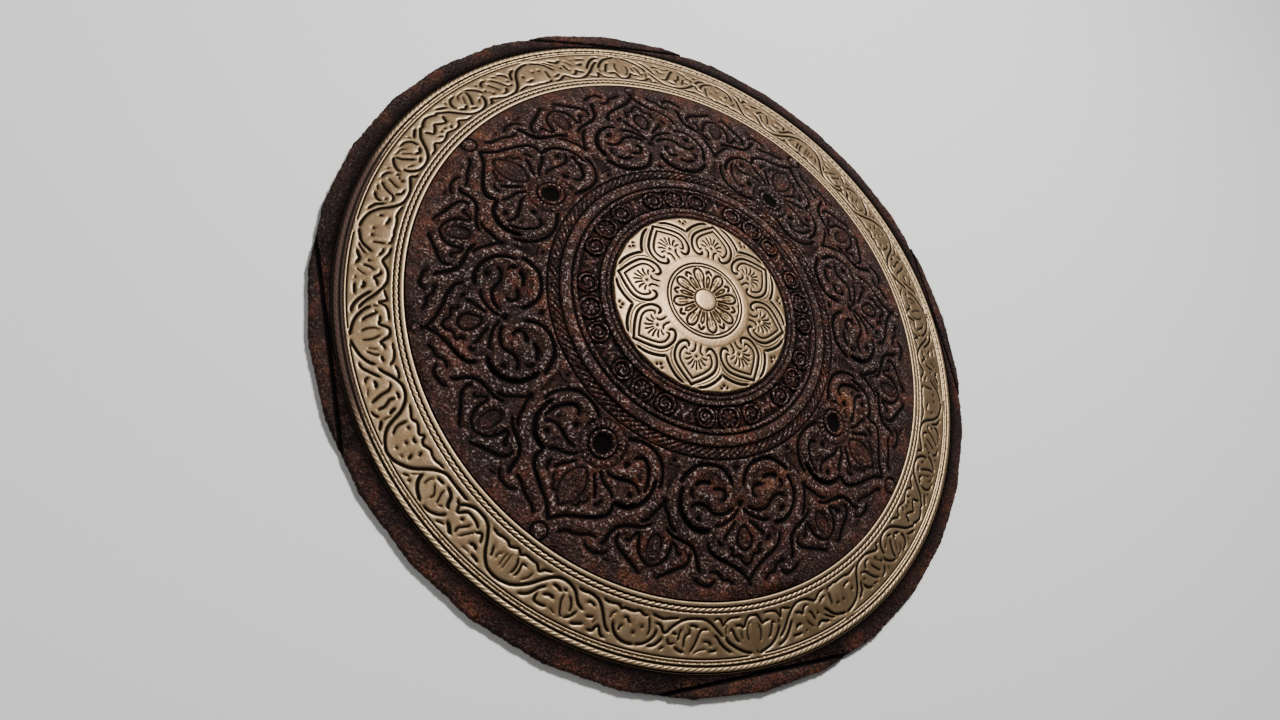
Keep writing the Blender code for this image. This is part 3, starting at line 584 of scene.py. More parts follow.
innerBands = {
    "shoulder": 0.3,
    "reach": 1.6,
    "ridges": [(53.5, 55.3, 0.45), (56.1, 58.5, 0.4), (70.9, 72.4, 0.6), (74.3, 79.2, 0.7)],
    "lines": [(52.9, 0.6, 1.1), (55.7, 0.4, 0.8), (59.2, 0.8, 1.3), (70.2, 0.6, 1.1), (73.3, 0.7, 1.2),
              (79.8, 0.6, 1.1)],
    "sunk": (59.8, 70.0, 0.85),
    "disc": 65.0,
    "discRadius": 6.5,
    "smallDisc": ((12.4, 5.6), (32.6, 5.6)),
    "medallion": {
        "margin": 0.8,
        "rimWidth": 1.7,
        "rimRise": 1.1,
        "sink": 0.35,
        "swell": 0.7,
        "swellSink": 0.2,
        "curls": 1.15,
        "curlDepth": 1.3,
        "inset": 1.5,
        "petals": 4,
        "petalDepth": 1.1,
        "heart": (1.6, 0.5, 0.7),       # radius, half width and depth of the ring about a flower's heart
        "innerLine": (-1.9, 0.6, 1.0),  # mm outside the disc, half width, depth
        "outerLine": (0.3, 0.7, 1.4),
    },
    # span, strands, slant, rise, notch, and how deep it lies
    "rope": ((80.4, 85.3), 128, 1.7, 2.0, 0.85, 1.2),
    "fineRope": ((53.5, 55.3), 128, 1.2, 0.7, 0.75, 0.7),
    "scroll": [  # ribs between the groups of discs: half width, rise, then degrees and radius
        (0.9, 0.9, (6.6, 62), (8.0, 66.5), (9.3, 68.6)),
        (0.9, 0.9, (5.0, 68.4), (6.4, 66.0), (6.8, 63.0)),
        (0.9, 0.9, (19.5, 61.2), (21.5, 64.5), (22.5, 68.8)),
        (0.9, 0.9, (17.5, 68.6), (19.2, 66.6), (20.2, 64.0)),
        (0.9, 0.9, (25.5, 61.2), (23.8, 64.0), (22.9, 67.0)),
        (0.9, 0.9, (27.6, 68.6), (26.0, 66.2), (25.0, 64.3)),
        (0.9, 0.9, (38.6, 61.5), (37.8, 66.0), (36.5, 68.6)),
        (0.9, 0.9, (40.4, 68.4), (39.2, 66.0), (38.8, 63.2)),
    ],
}


def polarPlace(points, origin):
    # drawn as degrees round the circle and mm outwards
    points = np.array(points, float)
    turn = np.radians(points[:, 0])
    out = points[:, 1] + origin
    return np.column_stack([out * np.cos(turn), out * np.sin(turn)])


def medallion(field, degrees, size, curled):
    # a round disc with a rim, holding a spiral or a small flower
    look = innerBands["medallion"]
    x, y = polarPlace([(degrees, innerBands["disc"])], 0)[0]
    away = np.hypot(field.x - x, field.y - y)
    turn = np.arctan2(field.y - y, field.x - x) - math.radians(degrees)
    rim = ridge(away, size - look["rimWidth"], size, look["rimRise"]) - look["sink"]
    inset = size - look["inset"]
    dish = look["swell"] * np.sqrt(np.clip(1 - (away / inset) ** 2, 0, 1)) - look["swellSink"]
    if curled:
        curl = np.abs(np.sin(turn + away * look["curls"]))
        dish = dish - look["curlDepth"] * (1 - curl) * (away < inset)
    else:
        heart, half, depth = look["heart"]
        petals = np.abs(np.sin(turn * look["petals"]))
        dish = dish - look["petalDepth"] * (1 - petals) * (away < size - look["rimWidth"]) * (away > 1.4)
        dish = dish - depth * lineAt(away - heart, half)
    lines = 0
    for gap, half, depth in (look["innerLine"], look["outerLine"]):
        lines = lines + depth * lineAt(away - size - gap, half)
    replaceWith(field, rim + dish - lines, away < size + look["margin"])


def innerField(angle, radius):
    field = Field(angle, radius, innerBands)
    inner, outer, depth = innerBands["sunk"]
    field.soft = depth * ((radius > inner) & (radius < outer))
    for half, rise, *points in innerBands["scroll"]:
        field.groove(smoothLine(polarPlace(points, 0)), half, -rise)
    for degrees, size in innerBands["smallDisc"]:
        medallion(field, degrees, size, True)
    for degrees in (0, 45):
        medallion(field, degrees, innerBands["discRadius"], False)
    height = field.height()
    for low, high, rise in innerBands["ridges"]:
        height = np.where((radius > low) & (radius < high), ridge(radius, low, high, rise), height)
    for middle, half, cut in innerBands["lines"]:
        height = height - cut * lineAt(radius - middle, half)
    return height


def sunkRope(angle, radius, look):
    # a rope that lies in a groove of its own
    (low, high), strands, slant, rise, notch, sink = look
    twist = rope(angle, radius, low, high, strands, slant, rise, notch)
    return np.where((radius > low) & (radius < high), twist - sink, 0)


def turningBands(angle, radius):
    # ropes lean one way all round, so they are added after the folding out
    return sunkRope(angle, radius, innerBands["rope"]) + sunkRope(angle, radius, innerBands["fineRope"])


# The iron shell

shellMesh = {
    "rows": 0.45,            # mm between rows of the carved face
    "columns": 1920,
    "most": 197000,
    "slitInset": 9.2,        # from a corner's radius in to the slits
    "slitHalf": 1.2,
    "slitDepth": 1.9,
    "chips": 0.8,            # how far the rim is eaten in places
    "edgeFall": 0.5,         # how far the edge is rounded down
    "dents": 0.16,
    "rimDents": 0.35,
    "insideDents": 0.35,
    "rimRows": 30,
    "seatColumns": (120, 240),  # under the plate, and under the ring
    "backRows": 44,
    "backColumns": 480,
}


def rimEdge(angle):
    side = tau / dome["rimSides"]
    turn = (angle + side / 2) % side - side / 2
    return dome["rimRadius"] * math.cos(side / 2) / np.cos(side / 2 - np.abs(turn))


def makeShell():
    columns = shellMesh["columns"]
    inner = dome["plateSeat"]
    ringIn, ringOut = dome["ringSeat"]
    count = int((ringIn - inner) / shellMesh["rows"]) + 1
    rows = np.linspace(inner, ringIn, count)
    wedge = np.linspace(0, math.pi / 4, columns // 8 + 1)
    angle, radius = np.meshgrid(wedge, rows)
    wide = radius[:, 0] >= ironCarving["origin"] - 1.0
    low = innerField(angle[~wide], radius[~wide])
    high = ironField(angle[wide], radius[wide])
    heights = mirrored(np.vstack([low, high]))
    around = np.arange(columns) * tau / columns
    fullAngle, fullRadius = np.meshgrid(around, rows)
    heights = heights + turningBands(fullAngle, fullRadius)
    heights = blurred(heights, 0, 1) * 0.5 + heights * 0.5
    rings = [np.array([[0, 0, seatHeight(0)]])]
    for r in (20, 40, inner):
        rings.append(ringPoints(shellMesh["seatColumns"][0], r, seatHeight(r)))
    for r, line in zip(rows, heights):
        rings.append(ringPoints(columns, r, faceHeight(r) + line))
    for r in (ringIn, (ringIn + ringOut) / 2, ringOut):
        rings.append(ringPoints(shellMesh["seatColumns"][1], r, seatHeight(r)))
    # the many-sided rim with its eaten edge and its four slits
    edge = rimEdge(around)
    straight = np.stack([np.cos(around), np.sin(around), around * 0], 1)
    eaten = 0.5 + 0.5 * waver(straight * 200, 5.0, 3) + 0.6 * waver(straight * 200, 1.6, 4)
    edge = edge - shellMesh["chips"] * np.clip(eaten, 0, 1.4)
    slit = dome["rimRadius"] - shellMesh["slitInset"]
    fold = (around + math.pi / 4) % (math.pi / 2) - math.pi / 4
    fold = np.abs(np.abs(fold) - math.pi / 4)
    rimRows = shellMesh["rimRows"]
    for k in range(rimRows + 1):
        r = ringOut + (edge - ringOut) * k / rimRows
        away = r * np.cos(fold) - slit
        cut = shellMesh["slitDepth"] * lineAt(away, shellMesh["slitHalf"]) ** 0.5
        fall = shellMesh["edgeFall"] * np.clip(k / rimRows * 5 - 4, 0, 1) ** 2
        rings.append(ringPoints(columns, r, faceHeight(r) - cut - fall))
    for share in (0.66, 0.33, 0.0):
        rings.append(ringPoints(columns, edge - 0.3 * (1 - share), faceHeight(edge) * share))
    # underneath: the flat foot, then the inside up to its middle
    foot = dome["rimRadius"] * math.cos(math.pi / dome["rimSides"]) - dome["rimFoot"]
    backColumns = shellMesh["backColumns"]
    rings.append(ringPoints(backColumns, foot, 0.0))
    brink = foot - 2 * dome["wall"]
    for r in np.linspace(brink, 0, shellMesh["backRows"])[:-1]:
        rings.append(ringPoints(backColumns if r > 20 else backColumns // 5, r, insideHeight(r)))
    rings.append(np.array([[0, 0, insideHeight(0)]]))
    shell = meshOf("shieldBody", rings, shellMesh["most"])
    points = pointsOf(shell)
    away = np.hypot(points[:, 0], points[:, 1])
    # uneven skin wherever nothing has to fit
    gap = faceHeight(away) - points[:, 2]
    free = (points[:, 2] > 0.4) & ~((away > ringIn - 0.6) & (away < ringOut + 0.6)) & (away > inner + 0.6)
    rough = shellMesh["dents"] * (waver(points, 6.0, 1) + 0.5 * waver(points, 2.6, 2))
    rimRough = shellMesh["rimDents"] * waver(points, 4.0, 5) * np.clip((away - ringOut - 1) / 3, 0, 1)
    inside = (gap > 3.3) & (away < foot - 4)
    hammered = shellMesh["insideDents"] * waver(points, 14.0, 6) + 0.1 * waver(points, 5.0, 7)
    rough = np.where(inside, hammered, rough)
    points[:, 2] += np.where(free | inside, rough + rimRough * ~inside, 0)
    points[:, 2] = np.maximum(points[:, 2], 0)
    setPoints(shell, points)
    # painted shade and dirt in the slits and beside the ring
    turned = np.arctan2(points[:, 1], points[:, 0])
    turned = (turned + math.pi / 4) % (math.pi / 2) - math.pi / 4
    aside = away * np.cos(np.abs(np.abs(turned) - math.pi / 4)) - slit
    dark = lineAt(aside, shellMesh["slitHalf"] + 0.3) * (away > ringOut) * (points[:, 2] > 1)
    dark = 1.5 * np.maximum(dark, 0.8 * lineAt(away - ringOut - 0.4, 1.1) * (points[:, 2] > 6))
    wearShadeAndSheenMasks(shell, heights, rows, (6, 9), 1.0, 0.5, lambda p, r: faceHeight(r) - p[:, 2] < 2.6, dark)
    return shell


# The brass ring. Three eighths of the vine are drawn, in degrees and mm out from the inner edge; the
# others repeat them. Each cut: half its width, depth, then its points; each pit: radius, depth, place.

brassRing = {
    "inner": 154.5,
    "outer": 188.4,
    "rows": 0.35,
    "columns": 3072,
    "most": 195000,
    "shoulder": 0.5,
    "reach": 1.7,
    "lines": [(0.1, 0.5, 0.9), (30.2, 0.6, 1.1), (33.5, 0.6, 1.0)],
    "brokenLine": (27.0, 0.55, 1.1),
    "mouldings": ((0.6, 2.5, 0.3), (5.7, 7.4, 0.2), (27.5, 28.2, 0.1), (29.0, 29.8, 0.2)),
    "innerRope": ((3.0, 5.2), 288, 1.2, 0.7, 0.7, 0.35),
    "outerRope": ((30.7, 33.0), 320, 1.6, 0.7, 0.7, 0.3),
    "underColumns": 384,
    "waves": 288,
    "waveHeight": 0.16,
    "wavyLines": ((2.8, 0.5, 1.0, 1), (5.35, 0.45, 0.9, -1), (28.6, 0.5, 0.7, 1)),
    "edgeFall": 0.25,
    "tarnish": {"at": 214, "half": 34, "out": 28.0, "strength": 2.5},  # degrees, and mm out
    # which drawing fills the eighth before and after each quarter's axis
    "quarters": [("bud", "bud"), ("ribbed", "open"), ("bud", "bud"), ("ribbed", "open")],
    "ribbed": {
        "breaks": (25.8, 45.0),
        "cuts": [
            (0.7, 1.1, (0, 24.5), (1, 24.9), (2, 24.6), (3, 23.7), (4, 21.5), (4.8, 18.8), (5.6, 15.2),
             (6.3, 12.5), (7, 10.2), (8, 8.6), (9.4, 8.1), (10.5, 8.3), (11.3, 9.2), (12.2, 10.8),
             (12.9, 12.6), (13.6, 11.6)),
            (0.65, 1.0, (8, 13.9), (8.8, 12.5), (10, 11.9), (11, 12.1), (11.5, 13.6), (12.1, 15.5),
             (12.5, 14.2), (12.9, 12.8)),
            (0.7, 1.0, (4.6, 24.9), (5.2, 24.3), (6, 24.1)),
            (0.8, 1.0, (6, 21.4), (6.3, 20.6), (6.8, 20.4), (7.3, 21.2)),
            (0.35, 0.5, (6.6, 24.3), (7.9, 24.5)),
            (0.6, 1.0, (6.2, 17.8), (6.6, 15.4), (7.1, 14.4), (7.9, 16)),
            (0.4, 0.6, (7.9, 16), (8.7, 19.5), (9.3, 22.5)),
            (0.45, 0.7, (10.1, 22.8), (10.3, 20.5), (9.9, 18.5), (9.4, 16.5), (9.2, 15)),
            (0.9, 1.2, (10.3, 24.2), (10.7, 23.9), (11.3, 22.6), (12, 21.8)),
            (0.5, 0.8, (12, 23.6), (12.6, 24.2), (13.3, 25.5)),
            (0.6, 1.0, (13, 20), (13.5, 22.2), (14.3, 24), (15.2, 25.2), (16.2, 25.5)),
            (0.8, 1.1, (17, 25.5), (17.8, 24.6), (18.8, 23.2), (19.6, 21.3), (20.1, 19), (20.1, 17.6)),
            (0.35, 0.5, (20.1, 18), (20.7, 20.5), (21.1, 22.4)),
            (0.45, 0.7, (21, 23.2), (21.4, 24.2), (21.8, 25.3)),
            (0.8, 1.1, (13.4, 17.6), (13.9, 17), (14.3, 15.2), (14.6, 13.6), (15.3, 12.4), (16.2, 11.9)),
            (0.7, 1.0, (17, 12.4), (17.6, 12.8), (18.4, 13.1)),
            (0.35, 0.6, (15.2, 20.5), (15.6, 18), (16, 15.8), (16, 13.8)),
            (0.4, 0.6, (16.5, 21.5), (16.5, 19), (17, 17.5), (17.9, 15.6)),
            (0.35, 0.5, (18.8, 20), (18.9, 17), (18.5, 14.5)),
            (0.35, 0.5, (14.2, 19), (14.8, 20.4)),
            (0.7, 1.1, (12.5, 8.5), (13, 8.8), (15, 8.7), (17, 8.7), (18, 9), (18.9, 10.3), (19.8, 12.5),
             (20.6, 15.5), (21.3, 18.5), (22, 21), (23, 23.4), (24, 25.3), (25, 26.3), (26, 26.5),
             (27, 25.6), (28, 24.2), (29, 22), (29.6, 19.5), (30.1, 16.8), (30.6, 14), (31.2, 11.9),
             (32, 10), (33, 8.7), (34, 8.2), (35, 8.5), (36, 9.8), (37, 11.9), (38, 14.7), (38.8, 16.7)),
            (0.6, 1.0, (19, 8.5), (20, 8.8), (21, 9.7), (22, 9.5), (22.8, 9), (23.5, 9.8), (24.2, 10.7),
             (25, 9.8), (25.4, 8.4), (26.1, 10.1), (27, 9.2), (28, 8.6), (28.9, 10), (30, 9.2),
             (31.3, 8.3)),
            (0.6, 0.9, (23.3, 19.8), (23.5, 18.2), (23.7, 17.4)),
            (0.5, 0.8, (27.8, 20.8), (28.4, 19), (28.8, 17), (28.9, 14.5), (28.9, 12.5)),
            (0.6, 0.9, (25.1, 12.8), (25.4, 13.6), (25.9, 13)),
            (0.5, 0.8, (22.9, 15), (23.2, 13)),
            (0.7, 1.0, (29.2, 25.4), (29.9, 23.9), (30.5, 22.8)),
            (0.35, 0.5, (30.5, 22.5), (30.6, 20), (30.7, 17.5)),
            (0.6, 0.9, (31.2, 23.2), (31.6, 24.7), (32.3, 25.6)),
            (0.7, 1.0, (31, 18.2), (31.3, 17), (31.6, 15)),
            (0.55, 0.9, (32.3, 22.5), (32.4, 19.5), (32.8, 17.5), (33.2, 16), (33.2, 13.4)),
            (0.7, 1.0, (33, 12), (33.5, 11.5), (34, 12)),
            (0.55, 0.9, (33.6, 24), (34.1, 21), (34.5, 18), (34.7, 15.5), (35, 14.3), (35.6, 13.3),
             (36, 13.5)),
            (0.35, 0.5, (34.8, 24.8), (36, 23.6)),
            (0.5, 0.8, (36.9, 24.1), (37.5, 23.5), (37.7, 21.8)),
            (0.75, 1.1, (35.8, 20.1), (36.4, 19.5), (36.8, 20.2)),
            (0.6, 1.0, (37.3, 16.8), (38, 19.2), (38.8, 21.8), (39.5, 23.8), (40.4, 24.7)),
            (0.6, 0.9, (36, 9.3), (37, 8.4), (38, 8.5), (38.6, 9.2)),
            (0.55, 0.9, (38.9, 11.2), (39.4, 9.5), (40.3, 8.3), (41.3, 7.8), (42, 8), (42.7, 7.8)),
            (0.7, 1.1, (39.6, 17.5), (40, 19.6), (40.8, 21.8), (41.8, 23.7), (43, 25.2), (44.3, 26.5)),
            (0.7, 1.0, (39.8, 13.6), (40.7, 13.9)),
            (0.45, 0.7, (41, 14.5), (41.2, 16.8), (41.7, 19), (42, 20.5)),
            (0.35, 0.5, (42.1, 15), (42.2, 17), (42.5, 19.5)),
            (0.65, 1.0, (41.9, 11.8), (42.6, 12), (43.1, 13), (43.6, 11), (44, 9), (44.8, 8), (45, 8)),
            (0.4, 0.6, (44, 21.5), (43.9, 18), (44.1, 15), (44.5, 12.6)),
            (0.35, 0.5, (1.2, 20.5), (1.2, 14), (1.2, 12.5)),
            (0.35, 0.5, (1.8, 20), (1.9, 15), (1.7, 13)),
            (0.5, 0.8, (3.7, 19), (3.9, 17), (4.3, 14.5)),
            (0.35, 0.5, (2.9, 18.5), (3, 16.5), (2.5, 14.5)),
            (0.6, 1.0, (0, 10.2), (0.8, 8.4), (1.5, 9.1), (2.3, 10), (3, 8.9), (4, 8.8), (5, 9.4),
             (6.2, 8.8)),
        ],
        "pits": [(0.7, 0.9, 10.8, 16.1), (0.6, 0.7, 20.4, 24.2), (0.6, 0.8, 25.7, 17),
                 (0.6, 0.8, 27.8, 13.2), (0.5, 0.6, 25.7, 21.8), (0.4, 0.5, 24.2, 21.6)],
    },
    "open": {
        "breaks": (44.3,),
        "cuts": [
            (0.7, 1.1, (0, 24.4), (1, 23.7), (2, 22.2), (3, 20), (4, 17.3), (5, 14), (6, 11.2), (7, 9.3),
             (8, 8.5), (9, 8.5), (10, 9.3), (11, 11), (11.6, 13.3), (12.2, 15.4), (13.2, 17)),
            (0.65, 1.0, (3, 24.6), (4, 22.9), (4.7, 20.5), (5.3, 17.5), (6.2, 15)),
            (0.65, 1.0, (5.5, 19.8), (5.5, 22.5), (5.8, 23.4), (6.6, 23.6), (7.6, 23.1)),
            (0.75, 1.0, (6.4, 19), (7, 18), (7.6, 17.7), (8.2, 18.4)),
            (0.35, 0.5, (8.2, 22.7), (9.4, 24.2)),
            (0.45, 0.7, (9.4, 14.5), (9.4, 17), (9.7, 20), (10.2, 23.2), (10.7, 23.9)),
            (0.6, 0.9, (10.9, 23.7), (11.6, 22.2), (12.1, 20.2), (12.4, 18.8)),
            (0.5, 0.8, (11.4, 20.5), (11.3, 18), (10.8, 15), (10.3, 14)),
            (0.75, 1.0, (7.1, 12.8), (7.8, 12.7), (8.8, 13.8)),
            (0.6, 0.9, (9, 12.4), (9.6, 12.4)),
            (0.7, 1.0, (12.2, 24.7), (13, 23.8), (14, 22.6)),
            (0.6, 0.9, (14.1, 18.9), (14.6, 18.6), (15.2, 17.9)),
            (0.35, 0.5, (15.5, 21), (15.6, 18.5)),
            (0.6, 0.9, (13.5, 12.9), (14, 12.2), (14.7, 12.7), (14.9, 13.4)),
            (0.7, 1.1, (15, 24.3), (15.7, 23.8), (16.1, 21.8), (16.5, 21), (16.9, 22.5), (17.3, 24.3),
             (17.9, 25)),
            (0.7, 1.1, (11.3, 8.6), (12.2, 8.9), (13.2, 8.5), (14.2, 8.9), (15.2, 10), (16, 12.2),
             (16.6, 14.8), (17.2, 18), (17.7, 20.3), (18.4, 21.8)),
            (0.75, 1.1, (18.6, 17), (19, 20), (19.7, 22.3), (20.6, 23.7), (21.6, 24.3), (22.7, 24.2)),
            (0.65, 1.0, (23, 24), (24, 23.2), (24.8, 22), (25.6, 19.8), (26.1, 17.5), (26.2, 15.5)),
            (0.65, 1.0, (25, 23.6), (26, 22.8), (26.7, 21.2), (27.4, 18.7)),
            (0.5, 0.8, (27.2, 24), (27.8, 22.6)),
            (0.5, 0.8, (19.8, 20), (19.9, 18.2), (20.3, 17)),
            (0.55, 0.9, (20.2, 13.5), (20.7, 13), (21.1, 14.2), (21.5, 15.3)),
            (0.45, 0.7, (24.8, 19), (25, 16), (24.8, 13), (24.5, 10.5)),
            (0.4, 0.6, (17.9, 16), (18.1, 13.5), (18.7, 12)),
            (0.6, 1.0, (16, 8.4), (17, 9), (18.5, 8.5), (19, 8.8), (19.4, 9.9), (20, 9.2), (21, 9.4),
             (21.8, 9.3), (22.5, 8.6), (23, 8.9), (23.6, 9.9), (24.3, 9.9)),
            (0.6, 1.0, (25.1, 8.7), (26, 9.3), (27.2, 10), (28.2, 9.4), (30, 8.7)),
            (0.65, 1.0, (25.9, 12.6), (26.6, 12.7), (27.1, 14), (27.4, 15.7), (27.8, 16.2), (28.2, 15.3),
             (29, 12.9), (30, 10.7), (31, 9.3), (32.2, 8.5), (33.7, 8.2), (34.8, 8.4), (35.8, 9.5),
             (36.6, 11.2), (37.5, 13.8), (38.5, 16.8)),
            (0.55, 0.8, (28.3, 18.5), (28.5, 20.3), (29, 21), (29.6, 20.3)),
            (0.65, 1.0, (29.7, 22.2), (30.5, 23.5), (31.3, 24.2)),
            (0.6, 0.9, (29.1, 16), (29.5, 15.8), (29.9, 16.4)),
            (0.5, 0.8, (30.2, 19), (30.4, 15.5), (30.7, 13.5)),
            (0.5, 0.8, (31.3, 22), (31.3, 18.5), (31.7, 16.2), (32.2, 15.4), (32.1, 13)),
            (0.65, 1.0, (32.2, 11.6), (33, 11.6), (33.8, 12.4)),
            (0.55, 0.9, (32.5, 24), (33.2, 20.5), (33.8, 16.5), (34.2, 14.2), (34.8, 13.2), (35.6, 13.4)),
            (0.4, 0.6, (33, 24.6), (34, 23), (35.3, 22.4)),
            (0.65, 1.0, (35.8, 23.3), (36.8, 23.2), (37.1, 22.5)),
            (0.6, 0.9, (34.8, 18.9), (35.5, 18.8), (36, 19.5), (36.2, 21)),
            (0.65, 1.0, (36.8, 16), (37.4, 17), (38, 19.8), (39, 22.5), (40, 24.4)),
            (0.55, 0.9, (36.8, 9.2), (37.5, 8.2), (38.1, 8.8), (38.6, 11.5), (39, 10.2), (39.8, 8.6),
             (41, 8.1), (42, 8.3)),
            (0.7, 1.1, (39.1, 17), (39.4, 19), (40.2, 21), (41.3, 23), (42.5, 24.8), (43.8, 26)),
            (0.4, 0.6, (39.1, 16), (39.1, 13), (39.3, 11.5)),
            (0.55, 0.9, (39.8, 14.8), (40.2, 13.8), (40.6, 15.5), (41, 18), (41.6, 20)),
            (0.65, 1.0, (41, 12), (42, 12.1), (42.6, 13.1), (43, 11.5), (43.3, 9.8), (44, 8.2), (45, 8)),
            (0.35, 0.5, (42, 15), (42.2, 19)),
            (0.4, 0.6, (43.4, 20), (43.2, 16), (43.6, 12.5), (44.1, 11)),
            (0.7, 1.0, (44.8, 25.8), (45, 25.5)),
            (0.5, 0.8, (0, 12), (0.4, 14), (0.5, 17), (0.3, 19.5)),
            (0.5, 0.8, (1, 19.5), (1.2, 17), (1.1, 14.5), (1.1, 12.8), (2, 12.8)),
            (0.4, 0.6, (2.2, 19.5), (3, 16.5), (3.3, 13.5)),
            (0.6, 1.0, (0, 10), (0.5, 9), (1, 8.6), (2, 8.9), (3, 9), (3.5, 10.2), (4, 11.2), (4.6, 9.6),
             (5.5, 8.7), (6, 8.5)),
        ],
        "pits": [(0.6, 0.7, 22.3, 19), (0.5, 0.6, 23.6, 15.5)],
    },
    "bud": {
        "breaks": (25.6, 45.0),
        "cuts": [
            (0.7, 1.1, (0, 24.3), (1, 23.4), (1.9, 22), (2.4, 22.3), (3, 21), (4, 19), (5, 15.5),
             (6, 12), (7, 9.5), (8, 8.3), (9, 7.8), (10, 8), (11, 9.2), (11.8, 11.7), (12.1, 14),
             (12.1, 16)),
            (0.7, 1.1, (3, 24.4), (3.9, 22.9), (4.8, 21.4)),
            (0.35, 0.5, (5.2, 22.5), (5.4, 24.5)),
            (0.6, 1.0, (5.9, 17.5), (5.8, 20), (6.1, 22), (6.7, 23.7), (7.8, 24.5)),
            (0.75, 1.1, (6.2, 15.9), (6.8, 14.5), (7.3, 14.1), (8, 15.6)),
            (0.4, 0.6, (7.8, 21), (8.4, 23.2), (9.2, 23.5), (9.9, 24.1)),
            (0.35, 0.5, (8, 16), (8.7, 19.5), (9.2, 22)),
            (0.6, 1.0, (10.3, 23), (10.2, 20), (9.9, 18), (9.5, 15.8), (9, 13.6)),
            (0.65, 1.0, (10.4, 23.8), (11.2, 22.8), (12, 21), (12.6, 18.8), (12.8, 17)),
            (0.65, 0.9, (8.2, 12.4), (8.7, 11.4), (9.2, 11)),
            (0.4, 0.6, (10.4, 12.5), (10.9, 14), (11.4, 14.9)),
            (0.7, 1.1, (12, 8.3), (12.6, 8.6), (13.1, 10.8), (14, 9.9), (15, 8.7), (16, 7.7), (17, 7.5),
             (18, 7.8), (19, 8.6), (20, 10.9), (20.7, 14), (21.3, 17.5), (22, 20.3), (22.8, 22.5),
             (24, 24.2), (25, 25), (25.6, 25.1)),
            (0.6, 1.0, (13.7, 20.7), (14, 22.4), (14.6, 23.5), (15.2, 23.8)),
            (0.35, 0.5, (12.9, 22.5), (13.1, 24)),
            (0.4, 0.6, (13.9, 16.5), (14.5, 14.5)),
            (0.5, 0.8, (15, 20.5), (15.4, 18.3), (15.8, 16.5), (16.2, 13.9)),
            (0.6, 0.9, (16.2, 10.6), (17, 10.7), (17.5, 12), (17.8, 14)),
            (0.55, 0.9, (16, 22.8), (17, 20), (17.8, 16.5), (18, 15.2), (18.6, 14), (19.2, 13.9),
             (19.4, 14.6)),
            (0.45, 0.7, (16.9, 24), (17.8, 22.9)),
            (0.65, 1.0, (18.3, 23.8), (19, 22.8), (19.6, 21.2), (19.9, 19)),
            (0.7, 1.1, (20.1, 17), (20.4, 18.5), (20.7, 20.8), (21.3, 22.4), (22, 23.8)),
            (0.5, 0.8, (22.6, 15.6), (22.8, 17.5)),
            (0.65, 1.0, (22.8, 12.3), (23.5, 12.2), (24.3, 13.2)),
            (0.6, 1.0, (19.8, 8), (21, 8.8), (22, 9.3), (23, 8.5), (24.4, 8.2), (25.3, 8.4), (26.2, 7.9),
             (27, 8.4), (27.7, 8.5), (28.1, 10)),
            (0.45, 0.7, (28.1, 11), (28.1, 14), (28.1, 17.5)),
            (0.7, 1.1, (26, 25.1), (27, 24.1), (28, 23), (28.8, 21.2), (29.4, 19), (30, 17)),
            (0.55, 0.9, (28.5, 23.8), (29.3, 22.6), (30, 21), (30.5, 19.8)),
            (0.75, 1.1, (29.9, 24), (30.8, 22.8), (31.4, 22.1), (31.9, 22.6), (32.4, 23.7)),
            (0.65, 1.1, (28.9, 8), (30, 8.5), (31, 10.2), (31.6, 11.1), (32.3, 10), (33.2, 8.6),
             (34.3, 7.9), (35.3, 8), (36, 8.7), (36.9, 10.3), (37.8, 12.8), (38.6, 15.8), (39.3, 18.5),
             (40, 20.5), (40.5, 21.5)),
            (0.6, 0.9, (29.2, 11.4), (30, 12), (30.6, 13.4)),
            (0.5, 0.8, (31.7, 16.8), (31.8, 18.2)),
            (0.55, 0.9, (32.6, 20), (32.8, 17.5), (33.1, 15.8), (33.5, 14.6)),
            (0.65, 1.0, (33.5, 11.6), (34, 11.4), (34.6, 12.9), (34.9, 14.4), (35.4, 13.3), (36.4, 12.7)),
            (0.4, 0.6, (33.3, 23), (34, 20.5), (34.4, 18.5)),
            (0.4, 0.5, (34.7, 23.3), (35.2, 23.4)),
            (0.65, 1.0, (36, 23.4), (37, 23.4), (37.8, 23.2)),
            (0.75, 1.1, (35.7, 19.2), (36.4, 18.9), (36.8, 20.2)),
            (0.7, 1.1, (37.5, 15.6), (38, 18), (38.7, 20.8), (39.5, 23.2), (40.4, 24.7), (41, 25)),
            (0.7, 1.1, (40.2, 16), (40.6, 18.5), (41.2, 20.8), (42, 23), (43, 24.7), (44.8, 26.6)),
            (0.4, 0.6, (40.1, 15), (40.2, 12.5)),
            (0.55, 0.9, (41, 14.3), (41.4, 13.4), (41.8, 15.8), (42.2, 18.5), (42.7, 20.5)),
            (0.65, 1.0, (42, 12), (42.8, 12), (43.5, 12.7), (43.8, 11.5), (44.1, 9.8), (44.6, 8.2),
             (45, 8)),
            (0.4, 0.6, (44.5, 21.5), (44.1, 18), (44.2, 14.5), (44.5, 12.5)),
            (0.6, 0.9, (37, 9.7), (38, 9), (39, 8.2), (39.4, 9.5), (39.6, 12), (39.9, 10.5), (40.4, 8.9),
             (41.4, 8), (43, 7.9)),
            (0.65, 1.0, (0, 18.3), (1, 16), (1.9, 15), (2.3, 16.8), (2.7, 19)),
            (0.5, 0.8, (1.3, 9.7), (1.9, 12)),
            (0.6, 1.0, (0, 9.8), (0.8, 9), (1.6, 8.2), (2.4, 8), (3.2, 9), (3.8, 10.7), (4.6, 9.3),
             (5.4, 8), (6.5, 8.1)),
        ],
        "pits": [(0.7, 0.9, 13.6, 17.2), (0.7, 0.9, 14.5, 13.6), (0.5, 0.6, 19.2, 17.3),
                 (0.5, 0.7, 25.4, 18.4), (0.6, 0.7, 26.8, 18.3), (0.5, 0.6, 0.5, 12.7)],
    },
}


